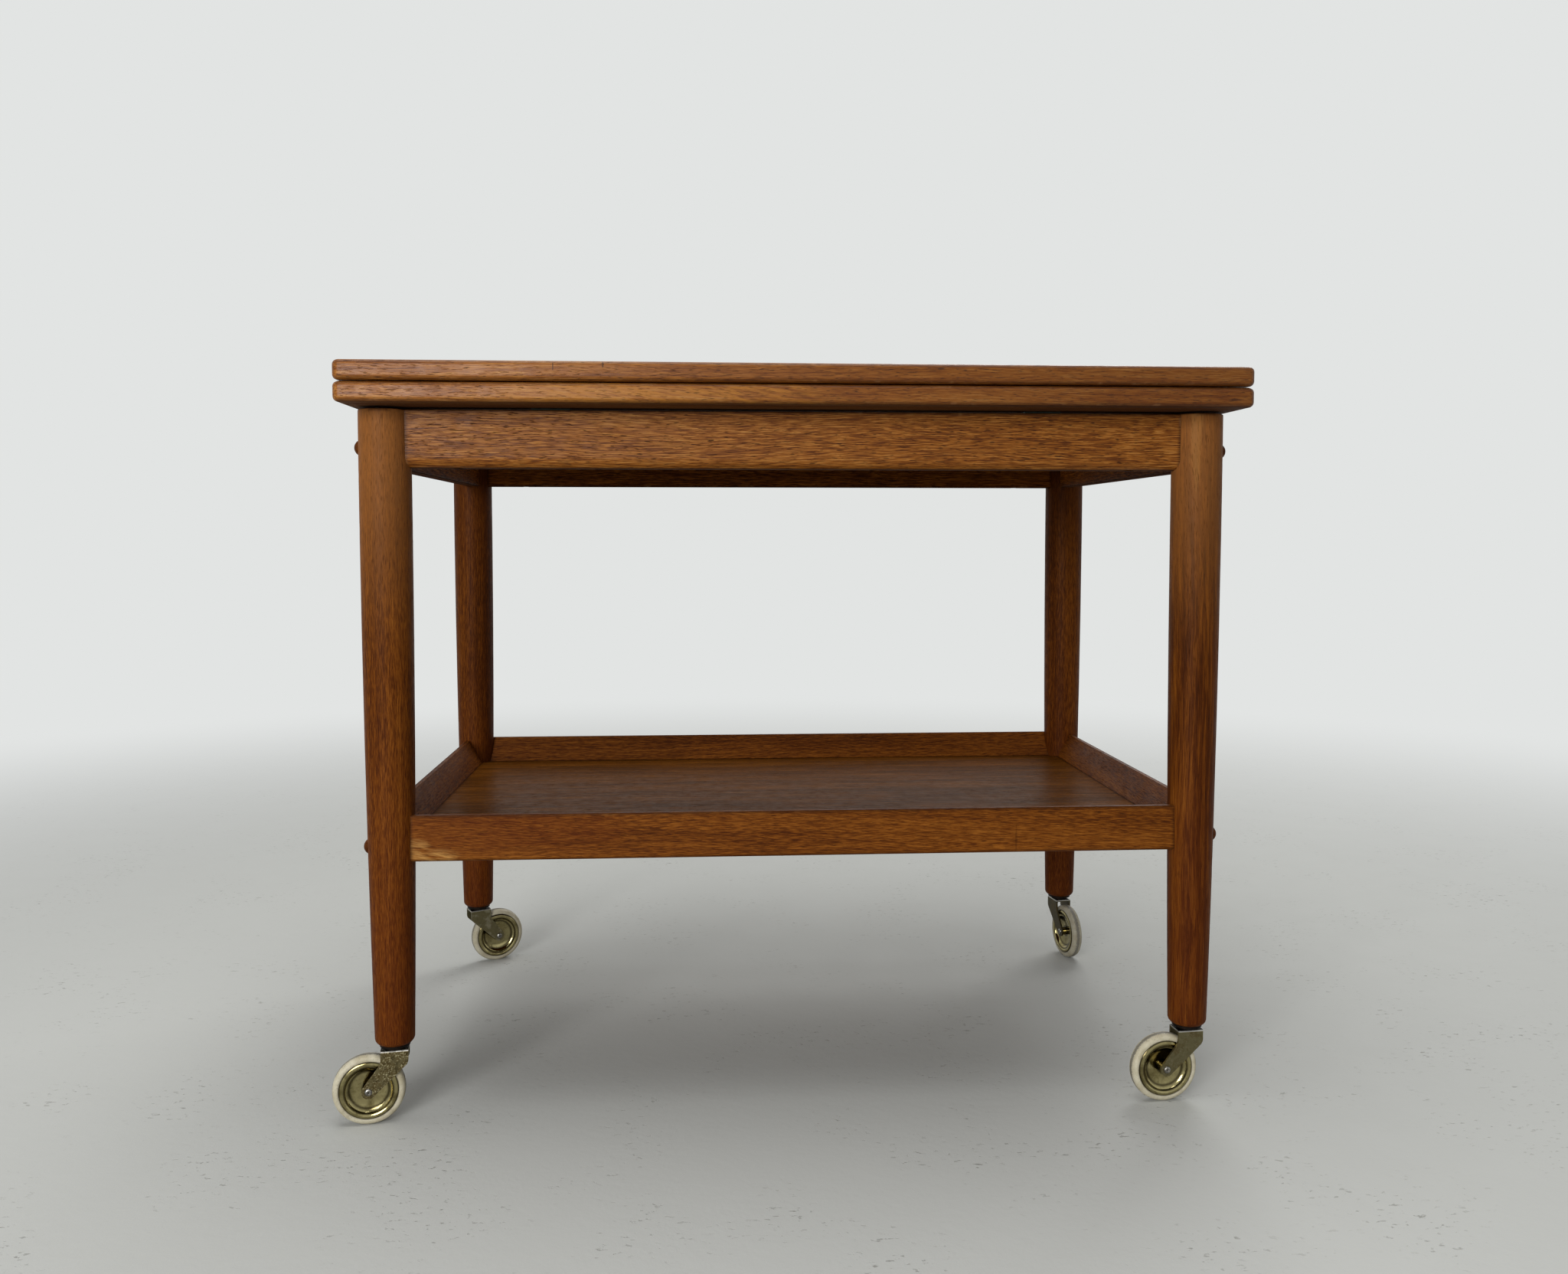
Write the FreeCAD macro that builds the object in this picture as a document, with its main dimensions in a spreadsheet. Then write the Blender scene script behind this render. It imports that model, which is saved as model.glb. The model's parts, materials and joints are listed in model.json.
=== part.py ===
import FreeCAD, Part
import math
import os
import Sketcher

# Fold-over tea trolley: two stacked leaves on a sliding top, a round-legged frame with a tray
# below, and four swivelling casters.
# Frame: X to the right along the top, Y to the back, Z up, origin on the floor midway between the legs.

# Driving dimensions, in millimetres and degrees

DRIVING = (
    ("top_length", 720, "top, left to right"),
    ("top_depth", 492, "top, front to back"),
    ("total_height", 615, "floor to the upper face of the top"),
    ("leaf_thickness", 15.5, "thickness of each leaf"),
    ("leaf_gap", 1, "gap between the stacked leaves"),
    ("leaf_edge_round", 4, "rounding of the leaf edges"),
    ("leaf_corner_round", 6, "rounding of the leaf corners in plan"),
    ("lipping_width", 12, "solid lipping round each panel"),
    ("top_clearance", 2, "gap between the frame and the lower leaf"),
    ("leg_inset_length", 27.5, "end of the top to the leg axes"),
    ("leg_inset_depth", 51, "front of the top to the leg axes"),
    ("leg_top_radius", 20.35, "leg radius at the top"),
    ("leg_foot_radius", 15.9, "leg radius at the foot"),
    ("leg_swelling", 1.6, "how far the leg swells beyond a straight taper"),
    ("leg_foot_height", 66, "floor to the end of the leg"),
    ("leg_foot_round", 5, "rounding of the foot"),
    ("leg_top_round", 1, "easing of the top end of the leg"),
    ("scribe_gap", 0.1, "glue gap where a rail is scribed to a leg"),
    ("apron_height", 46, "depth of the aprons"),
    ("apron_thickness", 20, "thickness of the aprons"),
    ("apron_round", 8.5, "rounding of the lower outer edge"),
    ("edge_ease", 1, "easing of the small edges"),
    ("rim_bottom_height", 217, "floor to the underside of the tray rims"),
    ("rim_height", 38, "height of the tray rims"),
    ("rim_thickness", 17, "rim thickness at its foot"),
    ("rim_top_thickness", 4.5, "rim thickness at its top"),
    ("rim_round", 3, "rounding of the lower outer edge of the rim"),
    ("tray_rise", 13, "underside of the rims to the tray floor"),
    ("tray_panel_thickness", 8, "thickness of the tray panel"),
    ("tray_groove_depth", 4, "how far the panel is let into the rims"),
    ("panel_play", 0.2, "room for the panel in its grooves"),
    ("fit_play", 0.05, "radial play of a snug fit"),
    ("apron_bolt_rise", 16, "underside of the apron to its bolt"),
    ("rim_bolt_rise", 12, "underside of the rim to its bolt"),
    ("bolt_radius", 2.5, "frame bolt shank radius"),
    ("bolt_head_radius", 4.6, "frame bolt head radius"),
    ("bolt_head_length", 4, "frame bolt head length"),
    ("bolt_seat", 7.4, "leg axis to the seat of the bolt head"),
    ("bolt_tail", 8, "how far the bolt passes its nut"),
    ("nut_setback", 58, "leg axis to the barrel nut"),
    ("nut_radius", 4, "barrel nut radius"),
    ("nut_length", 12, "barrel nut length"),
    ("plug_radius", 6, "plug radius"),
    ("plug_length", 7, "plug length inside the leg"),
    ("plug_dome", 3.5, "how far the plug stands proud"),
    ("dowel_radius", 3, "dowel radius"),
    ("dowel_depth", 12, "dowel depth in each piece"),
    ("dowel_end_room", 0.5, "room beyond each dowel end"),
    ("apron_dowel_low", 11, "underside of the apron to its lower dowel"),
    ("apron_dowel_high", 35, "underside of the apron to its upper dowel"),
    ("rim_dowel_low", 6, "underside of the rim to its lower dowel"),
    ("rim_dowel_high", 15, "underside of the rim to its upper dowel"),
    ("hinge_length", 60, "length of each hinge"),
    ("hinge_inset", 110, "end of the leaf to the middle of the outer hinge"),
    ("hinge_flap_width", 28, "hinge axis to the edge of a flap"),
    ("hinge_thickness", 1.5, "hinge plate thickness"),
    ("knuckle_radius", 2.5, "hinge knuckle radius"),
    ("knuckle_gap", 0.3, "gap round and between the knuckles"),
    ("hinge_pin_radius", 1.25, "hinge pin radius"),
    ("hinge_setback", 0.3, "rear edge of the leaf to the hinge axis"),
    ("screw_head_radius", 3, "screw head radius"),
    ("screw_head_height", 1.5, "depth of the countersunk head"),
    ("screw_shank_radius", 1.5, "screw shank radius"),
    ("screw_tip_length", 3, "length of the screw point"),
    ("hinge_screw_length", 10, "hinge screw length"),
    ("hinge_screw_pitch", 20, "distance between the screws of a flap"),
    ("hinge_screw_setback", 19, "hinge axis to its screws"),
    ("rail_thickness", 16, "guide rail thickness"),
    ("rail_height", 24, "guide rail height"),
    ("rail_drop", 2, "top of the apron to the top of the rail"),
    ("rail_end_gap", 4, "leg to the end of the rail"),
    ("slot_rise", 8, "underside of the rail to its slot"),
    ("slot_height", 9, "height of the rail slot"),
    ("slot_depth", 8, "depth of the rail slot"),
    ("slide_play", 0.4, "play of the runner in the slot"),
    ("rail_screw_rise", 4, "underside of the rail to its screws"),
    ("rail_screw_length", 27, "rail screw length"),
    ("rail_screw_inset", 40, "end of the rail to its outer screw"),
    ("runner_thickness", 15, "runner thickness"),
    ("runner_drop", 28, "runner height below the lower leaf"),
    ("stop_gap", 3, "runner to the apron at each end of its travel"),
    ("runner_screw_length", 37, "runner screw length"),
    ("runner_screw_inset", 24, "runner end to its screw"),
    ("glide_length", 30, "glide pad length"),
    ("glide_width", 12, "glide pad width"),
    ("glide_gap", 0.3, "glide pad to the lower leaf"),
    ("glide_inset", 132.5, "leg axis to the middle of the glide pad"),
    ("socket_radius", 5.5, "caster socket outer radius"),
    ("socket_length", 34, "caster socket length inside the foot"),
    ("socket_flange_radius", 12.2, "caster socket flange radius"),
    ("socket_flange", 1.8, "caster socket flange thickness"),
    ("stem_radius", 4, "caster stem radius"),
    ("stem_length", 28, "caster stem length above its shoulder"),
    ("stem_play", 0.06, "radial play of the stem in its socket"),
    ("shoulder_radius", 8.6, "caster stem shoulder radius"),
    ("shoulder_gap", 0.3, "stem shoulder to the socket flange"),
    ("stem_neck_radius", 3.4, "stem radius through the fork"),
    ("stem_rivet_radius", 5, "stem rivet radius below the fork"),
    ("stem_rivet", 1.6, "stem rivet thickness"),
    ("fork_foot_gap", 4, "end of the leg to the top of the fork"),
    ("fork_thickness", 2, "fork sheet thickness"),
    ("fork_inner_width", 13.6, "fork width between the arms"),
    ("fork_bend_round", 1.8, "rounding of the fork bends"),
    ("fork_front", 10.8, "swivel axis to the leading edge of the fork"),
    ("fork_rear", 11.2, "swivel axis to the trailing edge of the fork"),
    ("fork_lead_run", 15, "slope of the leading edge, along"),
    ("fork_lead_drop", 14, "slope of the leading edge, down"),
    ("fork_lead_round", 7, "rounding above that slope"),
    ("fork_rear_run", 12, "slope of the trailing edge, along"),
    ("fork_rear_drop", 16, "slope of the trailing edge, down"),
    ("fork_rear_round", 12, "rounding above that slope"),
    ("fork_end_radius", 5.6, "radius of the arm end"),
    ("wheel_head_room", 2, "top of the wheel to the underside of the fork"),
    ("wheel_lead", 8, "how far the front of the wheel passes the swivel axis"),
    ("tread_width", 11.4, "tyre width"),
    ("tread_round", 3, "rounding of the tread"),
    ("tyre_side_depth", 5.3, "tread to where the discs end on the tyre"),
    ("tyre_depth", 9, "tread to the inner face of the tyre"),
    ("tyre_foot_width", 9, "tyre width between the discs"),
    ("disc_thickness", 1, "wheel disc sheet thickness"),
    ("disc_edge_gap", 0.1, "gap between the edge of a disc and the tyre"),
    ("disc_bead_crown", 2.8, "crown radius of the bead"),
    ("disc_bead_flat", 0.8, "flat between the bead and the dished slope"),
    ("disc_dish_hollow", 6, "hollow radius of the dished slope"),
    ("disc_dish_run", 3.2, "radial width of the dished slope"),
    ("disc_web_offset", 1.8, "wheel middle to the sunk centre"),
    ("disc_collar_radius", 4.2, "outer radius of the disc collar"),
    ("disc_middle_gap", 0.1, "disc collar to the wheel middle"),
    ("hub_gap", 0.2, "disc collar to the fork arm"),
    ("axle_radius", 2.3, "axle radius"),
    ("axle_play", 0.08, "radial play of the wheel on its axle"),
    ("axle_head_radius", 3.1, "axle head radius"),
    ("axle_head", 1.2, "axle head height"),
    ("axle_recess_radius", 1.4, "radius of the recess in the axle head"),
    ("axle_recess", 0.7, "depth of the recess in the axle head"),
    ("front_left_angle", 189, "front left caster, direction of its trail"),
    ("front_right_angle", 185, "front right caster, direction of its trail"),
    ("rear_left_angle", 28, "rear left caster, direction of its trail"),
    ("rear_right_angle", -80, "rear right caster, direction of its trail"),
    ("cut_overrun", 5, "how far a cutting tool passes the face it cuts"),
)

doc = FreeCAD.newDocument("tea_trolley")
sheet = doc.addObject("Spreadsheet::Sheet", "Dimensions")
for row, (name, value, note) in enumerate(DRIVING, start=1):
    sheet.set(f"A{row}", note)
    sheet.set(f"B{row}", str(value))
    sheet.setAlias(f"B{row}", name)
sheet.recompute()

# Lengths that know both their worth and the sheet formula behind them


class Size:
    """A length: its worth now, and the formula that keeps it bound to the sheet."""

    def __init__(self, worth, formula):
        self.worth = float(worth)
        self.formula = formula

    def __add__(self, other):
        other = as_size(other)
        return Size(self.worth + other.worth, f"({self.formula} + {other.formula})")

    def __sub__(self, other):
        other = as_size(other)
        return Size(self.worth - other.worth, f"({self.formula} - {other.formula})")

    def __mul__(self, other):
        other = as_size(other)
        return Size(self.worth * other.worth, f"({self.formula} * {other.formula})")

    def __rmul__(self, other):
        return self * other

    def __truediv__(self, other):
        other = as_size(other)
        return Size(self.worth / other.worth, f"({self.formula} / {other.formula})")

    def __neg__(self):
        return Size(-self.worth, f"(-1 * {self.formula})")


class Sizes:
    """Reads a driving dimension from the sheet by its name."""

    def __getattr__(self, name):
        return Size(sheet.get(name), "Dimensions." + name)


def as_size(thing):
    if isinstance(thing, Size):
        return thing
    return Size(thing, repr(float(thing)))


def root(size):
    return Size(math.sqrt(size.worth), f"sqrt({size.formula})")


dim = Sizes()
NOTHING = as_size(0)
X_WAY = FreeCAD.Vector(1, 0, 0)
Y_WAY = FreeCAD.Vector(0, 1, 0)
Z_WAY = FreeCAD.Vector(0, 0, 1)
QUARTER_TURN = 90
HALF_TURN = 180
FULL_TURN = 360
LEFT = 1
RIGHT = -1
FIND_RANGE = 0.001

# Drawing and solid helpers


def bind(item, path, size):
    item.setExpression(path, as_size(size).formula)


def place(item, x, y, z, way=Z_WAY, angle=0):
    item.Placement = FreeCAD.Placement(FreeCAD.Vector(), FreeCAD.Rotation(way, angle))
    bind(item, ".Placement.Base.x", x)
    bind(item, ".Placement.Base.y", y)
    bind(item, ".Placement.Base.z", z)
    return item


def origin_part(body, role):
    return [part for part in body.Origin.OriginFeatures if part.Role == role][0]


def new_body(label):
    body = doc.addObject("PartDesign::Body", label)
    body.Label = label
    return body


def new_sketch(body, role, rise=NOTHING, across=NOTHING, up=NOTHING):
    """A sketch on an origin plane, moved along the plane's normal and within the plane."""
    sketch = body.newObject("Sketcher::SketchObject", body.Name + "_sketch")
    sketch.AttachmentSupport = [(origin_part(body, role), "")]
    sketch.MapMode = "FlatFace"
    bind(sketch, ".AttachmentOffset.Base.x", across)
    bind(sketch, ".AttachmentOffset.Base.y", up)
    bind(sketch, ".AttachmentOffset.Base.z", rise)
    return sketch


def fix_point(sketch, geometry, end, point):
    """Holds one point of the sketch at its bound coordinates."""
    for kind, size in zip(("DistanceX", "DistanceY"), point):
        rule = Sketcher.Constraint(kind, -1, 1, geometry, end, size.worth)
        bind(sketch, f"Constraints[{sketch.addConstraint(rule)}]", size)


def arc_between(start, end, radius, turn):
    """An arc from start to end that bends to the left or to the right, with the sketch's own sense."""
    chord = end - start
    middle = (start + end) * 0.5
    side = FreeCAD.Vector(-chord.y, chord.x, 0).normalize()
    reach = math.sqrt(max(radius ** 2 - (chord.Length / 2) ** 2, 0))
    centre = middle + side * (turn * reach)
    first, last = (start, end) if turn == LEFT else (end, start)
    angles = [math.atan2(spot.y - centre.y, spot.x - centre.x) for spot in (first, last)]
    return Part.ArcOfCircle(Part.Circle(centre, Z_WAY, radius), angles[0], angles[1])


def bow_between(start, end, control):
    """A parabolic curve that leaves start towards the control point and arrives at end from it."""
    curve = Part.BSplineCurve()
    curve.buildFromPolesMultsKnots([start, control, end], [3, 3], [0, 1], False, 2)
    return curve


def draw_bow(sketch, start, end, control):
    """Adds a parabolic side whose control point is bound to the sheet."""
    spot = FreeCAD.Vector(control[0].worth, control[1].worth, 0)
    geometry = sketch.addGeometry(bow_between(start, end, spot))
    sketch.exposeInternalGeometry(geometry)
    for number in range(geometry + 1, len(sketch.Geometry)):
        handle = sketch.Geometry[number]
        if isinstance(handle, Part.Circle) and handle.Center.isEqual(spot, FIND_RANGE):
            fix_point(sketch, number, 3, control)
    return geometry


def outline(sketch, points, arcs=None, bows=None):
    """A closed loop through bound points.

    arcs maps a side's number to its radius and turn, bows maps it to a control point.
    """
    arcs = arcs or {}
    bows = bows or {}
    points = [(as_size(across), as_size(up)) for across, up in points]
    spots = [FreeCAD.Vector(across.worth, up.worth, 0) for across, up in points]
    sides = []
    for number, spot in enumerate(spots):
        beyond = spots[(number + 1) % len(spots)]
        if number in arcs:
            radius, turn = arcs[number]
            curve = arc_between(spot, beyond, radius.worth, turn)
            ends = (1, 2) if turn == LEFT else (2, 1)
            sides.append((sketch.addGeometry(curve), ends))
        elif number in bows:
            sides.append((draw_bow(sketch, spot, beyond, bows[number]), (1, 2)))
        else:
            sides.append((sketch.addGeometry(Part.LineSegment(spot, beyond)), (1, 2)))
    for number, (geometry, ends) in enumerate(sides):
        following, following_ends = sides[(number + 1) % len(sides)]
        rule = Sketcher.Constraint("Coincident", geometry, ends[1], following, following_ends[0])
        sketch.addConstraint(rule)
    for number, (geometry, ends) in enumerate(sides):
        fix_point(sketch, geometry, ends[0], points[number])
        if number in arcs:
            radius = arcs[number][0]
            rule = Sketcher.Constraint("Radius", geometry, radius.worth)
            bind(sketch, f"Constraints[{sketch.addConstraint(rule)}]", radius)


def ring(sketch, across, up, radius):
    """A bound circle."""
    centre = FreeCAD.Vector(as_size(across).worth, as_size(up).worth, 0)
    geometry = sketch.addGeometry(Part.Circle(centre, Z_WAY, radius.worth))
    fix_point(sketch, geometry, 3, (as_size(across), as_size(up)))
    rule = Sketcher.Constraint("Radius", geometry, radius.worth)
    bind(sketch, f"Constraints[{sketch.addConstraint(rule)}]", radius)


def pad(body, sketch, length, backwards=False):
    feature = body.newObject("PartDesign::Pad", body.Name + "_pad")
    feature.Profile = sketch
    feature.Reversed = backwards
    bind(feature, "Length", length)
    return feature


def pocket(body, sketch, depth, backwards=False):
    """Cuts the sketch away and makes sure that something was cut."""
    doc.recompute()
    before = body.Shape.Volume
    feature = body.newObject("PartDesign::Pocket", body.Name + "_pocket")
    feature.Profile = sketch
    feature.Reversed = backwards
    bind(feature, "Length", depth)
    doc.recompute()
    if not body.Shape.Volume < before:
        raise RuntimeError(body.Label + ": the pocket cuts nothing")
    return feature


def prism(label, role, points, start, length, arcs=None, holes=()):
    """A bar of constant section that runs from start along +X, +Y or +Z."""
    body = new_body(label)
    runs_back = role == "XZ_Plane"
    sketch = new_sketch(body, role, -start if runs_back else start)
    outline(sketch, points, arcs)
    for across, up, radius in holes:
        ring(sketch, across, up, radius)
    pad(body, sketch, length, runs_back)
    return body


def turning(label, points, arcs=None, bows=None):
    """A piece turned about its own upright axis; points are radius and height."""
    body = new_body(label)
    sketch = new_sketch(body, "XZ_Plane")
    outline(sketch, points, arcs, bows)
    feature = body.newObject("PartDesign::Revolution", label + "_turn")
    feature.Profile = sketch
    feature.ReferenceAxis = (sketch, ["V_Axis"])
    feature.Angle = FULL_TURN
    return body


def round_edges(body, feature, radius, wanted):
    """Rounds the edges of a feature that the test picks out."""
    doc.recompute()
    names = [f"Edge{count}" for count, edge in enumerate(feature.Shape.Edges, start=1) if wanted(edge)]
    fillet = body.newObject("PartDesign::Fillet", body.Name + "_fillet")
    fillet.Base = (feature, names)
    bind(fillet, "Radius", radius)
    return fillet


def repeat(body, role, length, count, second_role=None, second_length=None, second_count=1):
    """Repeats the body's last feature in a row, or in two rows."""
    doc.recompute()
    pattern = body.newObject("PartDesign::LinearPattern", body.Name + "_row")
    pattern.Originals = [body.Tip]
    pattern.Direction = (origin_part(body, role), [""])
    pattern.Occurrences = count
    bind(pattern, "Length", length)
    if second_role:
        pattern.Direction2 = (origin_part(body, second_role), [""])
        pattern.Occurrences2 = second_count
        bind(pattern, "Length2", second_length)
    body.Tip = pattern
    return body


def box(label, corner, sides):
    item = doc.addObject("Part::Box", label)
    for path, size in zip(("Length", "Width", "Height"), sides):
        bind(item, path, size)
    return place(item, *corner)


def rod(label, base, radius, length, way="Z"):
    """A cylinder from base along +X, +Y or +Z."""
    item = doc.addObject("Part::Cylinder", label)
    bind(item, "Radius", radius)
    bind(item, "Height", length)
    turns = {"X": (Y_WAY, QUARTER_TURN), "Y": (X_WAY, -QUARTER_TURN), "Z": (Z_WAY, 0)}
    return place(item, *base, *turns[way])


def cut(label, base, tools):
    """Cuts the tools from the base one after another; the last result carries the label."""
    for tool in tools:
        result = doc.addObject("Part::Cut", label + "_stage")
        result.Base = base
        result.Tool = tool
        base = result
    base.Label = label
    return base


def common(label, base, tool):
    item = doc.addObject("Part::Common", label)
    item.Base = base
    item.Tool = tool
    item.Label = label
    return item


def fuse(label, shapes):
    item = doc.addObject("Part::MultiFuse", label)
    item.Shapes = shapes
    return item


def group(label, items):
    item = doc.addObject("Part::Compound", label)
    item.Links = items
    item.Label = label
    return item


def mirror(label, source, normal, height=NOTHING):
    item = doc.addObject("Part::Mirroring", label)
    item.Source = source
    item.Normal = normal
    bind(item, ".Base.z", height)
    item.Label = label
    return item


def quarters(label, items):
    """The items of the front left quarter, repeated by mirroring in all four quarters."""
    front_left = group(label + "_front_left", items)
    front_right = mirror(label + "_front_right", front_left, X_WAY)
    rear_left = mirror(label + "_rear_left", front_left, Y_WAY)
    rear_right = mirror(label + "_rear_right", front_right, Y_WAY)
    return group(label, [front_left, front_right, rear_left, rear_right])


finished = []


def keep(item):
    finished.append(item)
    return item


# Levels and half sizes worked out from the driving dimensions

half_length = dim.top_length / 2
half_depth = dim.top_depth / 2
lower_bottom = dim.total_height - dim.leaf_thickness * 2 - dim.leaf_gap
lower_top = lower_bottom + dim.leaf_thickness
hinge_height = lower_top + dim.leaf_gap / 2
hinge_back = half_depth + dim.hinge_setback
frame_top = lower_bottom - dim.top_clearance
apron_bottom = frame_top - dim.apron_height
apron_half = dim.apron_thickness / 2
rim_bottom = dim.rim_bottom_height
rim_top = rim_bottom + dim.rim_height
rim_half = dim.rim_thickness / 2
tray_floor = rim_bottom + dim.tray_rise
tray_underside = tray_floor - dim.tray_panel_thickness
leg_x = half_length - dim.leg_inset_length
leg_y = half_depth - dim.leg_inset_depth
apron_bolt_height = apron_bottom + dim.apron_bolt_rise
rim_bolt_height = rim_bottom + dim.rim_bolt_rise
overrun = dim.cut_overrun

# Legs: turned, with a slow swelling taper and a bore for the caster socket

leg_arc_low = dim.leg_foot_height + dim.leg_foot_round
leg_arc_high = frame_top - dim.leg_top_round
leg_arc_span = leg_arc_high - leg_arc_low
leg_taper = dim.leg_top_radius - dim.leg_foot_radius
leg_arc_middle = (leg_arc_low + leg_arc_high) / 2
leg_control_radius = (dim.leg_top_radius + dim.leg_foot_radius) / 2 + dim.leg_swelling * 2
socket_bore = dim.socket_radius + dim.fit_play
socket_bore_top = dim.leg_foot_height + dim.socket_length + dim.dowel_end_room


def leg_radius_at(height):
    """Radius of the leg at a height, along its swelling taper."""
    climb = (height - leg_arc_low) / leg_arc_span
    bulge = climb * (as_size(1) - climb) * 4 * dim.leg_swelling
    return dim.leg_foot_radius + leg_taper * climb + bulge


def make_leg(label):
    points = (
        (0, socket_bore_top),
        (socket_bore, socket_bore_top),
        (socket_bore, dim.leg_foot_height),
        (dim.leg_foot_radius - dim.leg_foot_round, dim.leg_foot_height),
        (dim.leg_foot_radius, leg_arc_low),
        (dim.leg_top_radius, leg_arc_high),
        (dim.leg_top_radius - dim.leg_top_round, frame_top),
        (0, frame_top),
    )
    arcs = {3: (dim.leg_foot_round, LEFT), 5: (dim.leg_top_round, LEFT)}
    bows = {4: (leg_control_radius, leg_arc_middle)}
    return turning(label, points, arcs, bows)


def make_leg_room(label):
    """The space that a scribed rail leaves for a leg."""
    foot_room = dim.leg_foot_radius + dim.scribe_gap
    top_room = dim.leg_top_radius + dim.scribe_gap
    points = (
        (0, dim.leg_foot_height),
        (foot_room, dim.leg_foot_height),
        (foot_room, leg_arc_low),
        (top_room, leg_arc_high),
        (top_room, frame_top + overrun),
        (0, frame_top + overrun),
    )
    return turning(label, points, None, {2: (leg_control_radius + dim.scribe_gap, leg_arc_middle)})


leg_rough = place(make_leg("leg_rough"), -leg_x, -leg_y, NOTHING)
leg_room_first = place(make_leg_room("leg_room_first"), -leg_x, -leg_y, NOTHING)
leg_room = quarters("leg_room", [leg_room_first])

# Frame fasteners: bolts with barrel nuts and domed plugs along X, dowels along Y

bolt_length = dim.bolt_seat + dim.nut_setback + dim.bolt_tail
bolt_levels = (("apron", apron_bolt_height, apron_bottom), ("rim", rim_bolt_height, rim_bottom))
plug_crown = (dim.plug_radius * dim.plug_radius + dim.plug_dome * dim.plug_dome) / (dim.plug_dome * 2)
bolts = []
plugs = []
nuts = []
bolt_rooms = []
plug_rooms = []
nut_rooms = []
for level, height, underside in bolt_levels:
    bolt_points = (
        (0, -dim.bolt_head_length),
        (dim.bolt_head_radius, -dim.bolt_head_length),
        (dim.bolt_head_radius, NOTHING),
        (dim.bolt_radius, NOTHING),
        (dim.bolt_radius, bolt_length),
        (0, bolt_length),
    )
    seat_x = -leg_x - dim.bolt_seat
    bolt = turning(f"{level}_bolt", bolt_points)
    bolts.append(place(bolt, seat_x, -leg_y, height, Y_WAY, QUARTER_TURN))
    room_radius = dim.bolt_radius + dim.fit_play
    room_base = (seat_x - overrun, -leg_y, height)
    bolt_rooms.append(rod(f"{level}_bolt_room", room_base, room_radius, bolt_length + overrun * 2, "X"))
    leg_face = leg_radius_at(height)
    plug_points = (
        (0, -dim.plug_length),
        (dim.plug_radius, -dim.plug_length),
        (dim.plug_radius, NOTHING),
        (0, dim.plug_dome),
    )
    plug = turning(f"{level}_plug", plug_points, {2: (plug_crown, LEFT)})
    plugs.append(place(plug, -leg_x - leg_face, -leg_y, height, Y_WAY, -QUARTER_TURN))
    plug_room_length = leg_face - dim.bolt_seat + overrun
    plug_room_base = (-leg_x - leg_face - overrun, -leg_y, height)
    plug_room_radius = dim.plug_radius + dim.fit_play
    plug_rooms.append(rod(f"{level}_plug_room", plug_room_base, plug_room_radius, plug_room_length, "X"))
    nut_x = -leg_x + dim.nut_setback
    nut_base = (nut_x, -leg_y, height - dim.nut_length / 2)
    nut_blank = rod(f"{level}_nut_blank", nut_base, dim.nut_radius, dim.nut_length)
    nuts.append(cut(f"{level}_nut", nut_blank, [bolt_rooms[-1]]))
    nut_room_length = height - underside + dim.nut_length / 2 + dim.fit_play + overrun
    nut_room_base = (nut_x, -leg_y, underside - overrun)
    nut_rooms.append(rod(f"{level}_nut_room", nut_room_base, dim.nut_radius + dim.fit_play, nut_room_length))

keep(quarters("frame_bolts", bolts))
keep(quarters("bolt_plugs", plugs))
keep(quarters("barrel_nuts", nuts))
bolt_room = quarters("bolt_room", bolt_rooms)
plug_room = quarters("plug_room", plug_rooms)
nut_room = quarters("nut_room", nut_rooms)

dowel_heights = (
    apron_bottom + dim.apron_dowel_low,
    apron_bottom + dim.apron_dowel_high,
    rim_bottom + dim.rim_dowel_low,
    rim_bottom + dim.rim_dowel_high,
)
dowels = []
dowel_rooms = []
for height in dowel_heights:
    start_y = -leg_y + leg_radius_at(height) - dim.dowel_depth
    dowels.append(rod("dowel", (-leg_x, start_y, height), dim.dowel_radius, dim.dowel_depth * 2, "Y"))
    room_base = (-leg_x, start_y - dim.dowel_end_room, height)
    room_length = dim.dowel_depth * 2 + dim.dowel_end_room * 2
    dowel_rooms.append(rod("dowel_room", room_base, dim.dowel_radius + dim.fit_play, room_length, "Y"))
keep(quarters("frame_dowels", dowels))
dowel_room = quarters("dowel_room", dowel_rooms)

leg_front_left = keep(cut("leg_front_left", leg_rough, [plug_room, bolt_room, dowel_room]))
leg_front_right = keep(mirror("leg_front_right", leg_front_left, X_WAY))
keep(mirror("leg_rear_left", leg_front_left, Y_WAY))
keep(mirror("leg_rear_right", leg_front_right, Y_WAY))

# Screws: countersunk, turned along their own axis


def make_screws(label, length, play):
    """One screw, head up to its own base plane, pointing along its own +Z."""
    shank = dim.screw_shank_radius + play
    points = (
        (0, NOTHING),
        (dim.screw_head_radius + play, NOTHING),
        (shank, dim.screw_head_height),
        (shank, length - dim.screw_tip_length),
        (0, length + play),
    )
    return turning(label, points)


def screw_sets(label, length, count_along, role, pitch, spot, way, angle, second=None):
    """A row of screws and the row of holes that it needs."""
    rows = []
    for name, play in ((label, NOTHING), (label + "_room", dim.fit_play)):
        body = make_screws(name, length, play)
        if second:
            repeat(body, role, pitch * (count_along - 1), count_along, second[0], second[1], second[2])
        else:
            repeat(body, role, pitch * (count_along - 1), count_along)
        rows.append(place(body, *spot, way, angle))
    return rows


# Aprons, scribed to the legs; the long ones are bolted, the short ones dowelled


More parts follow.
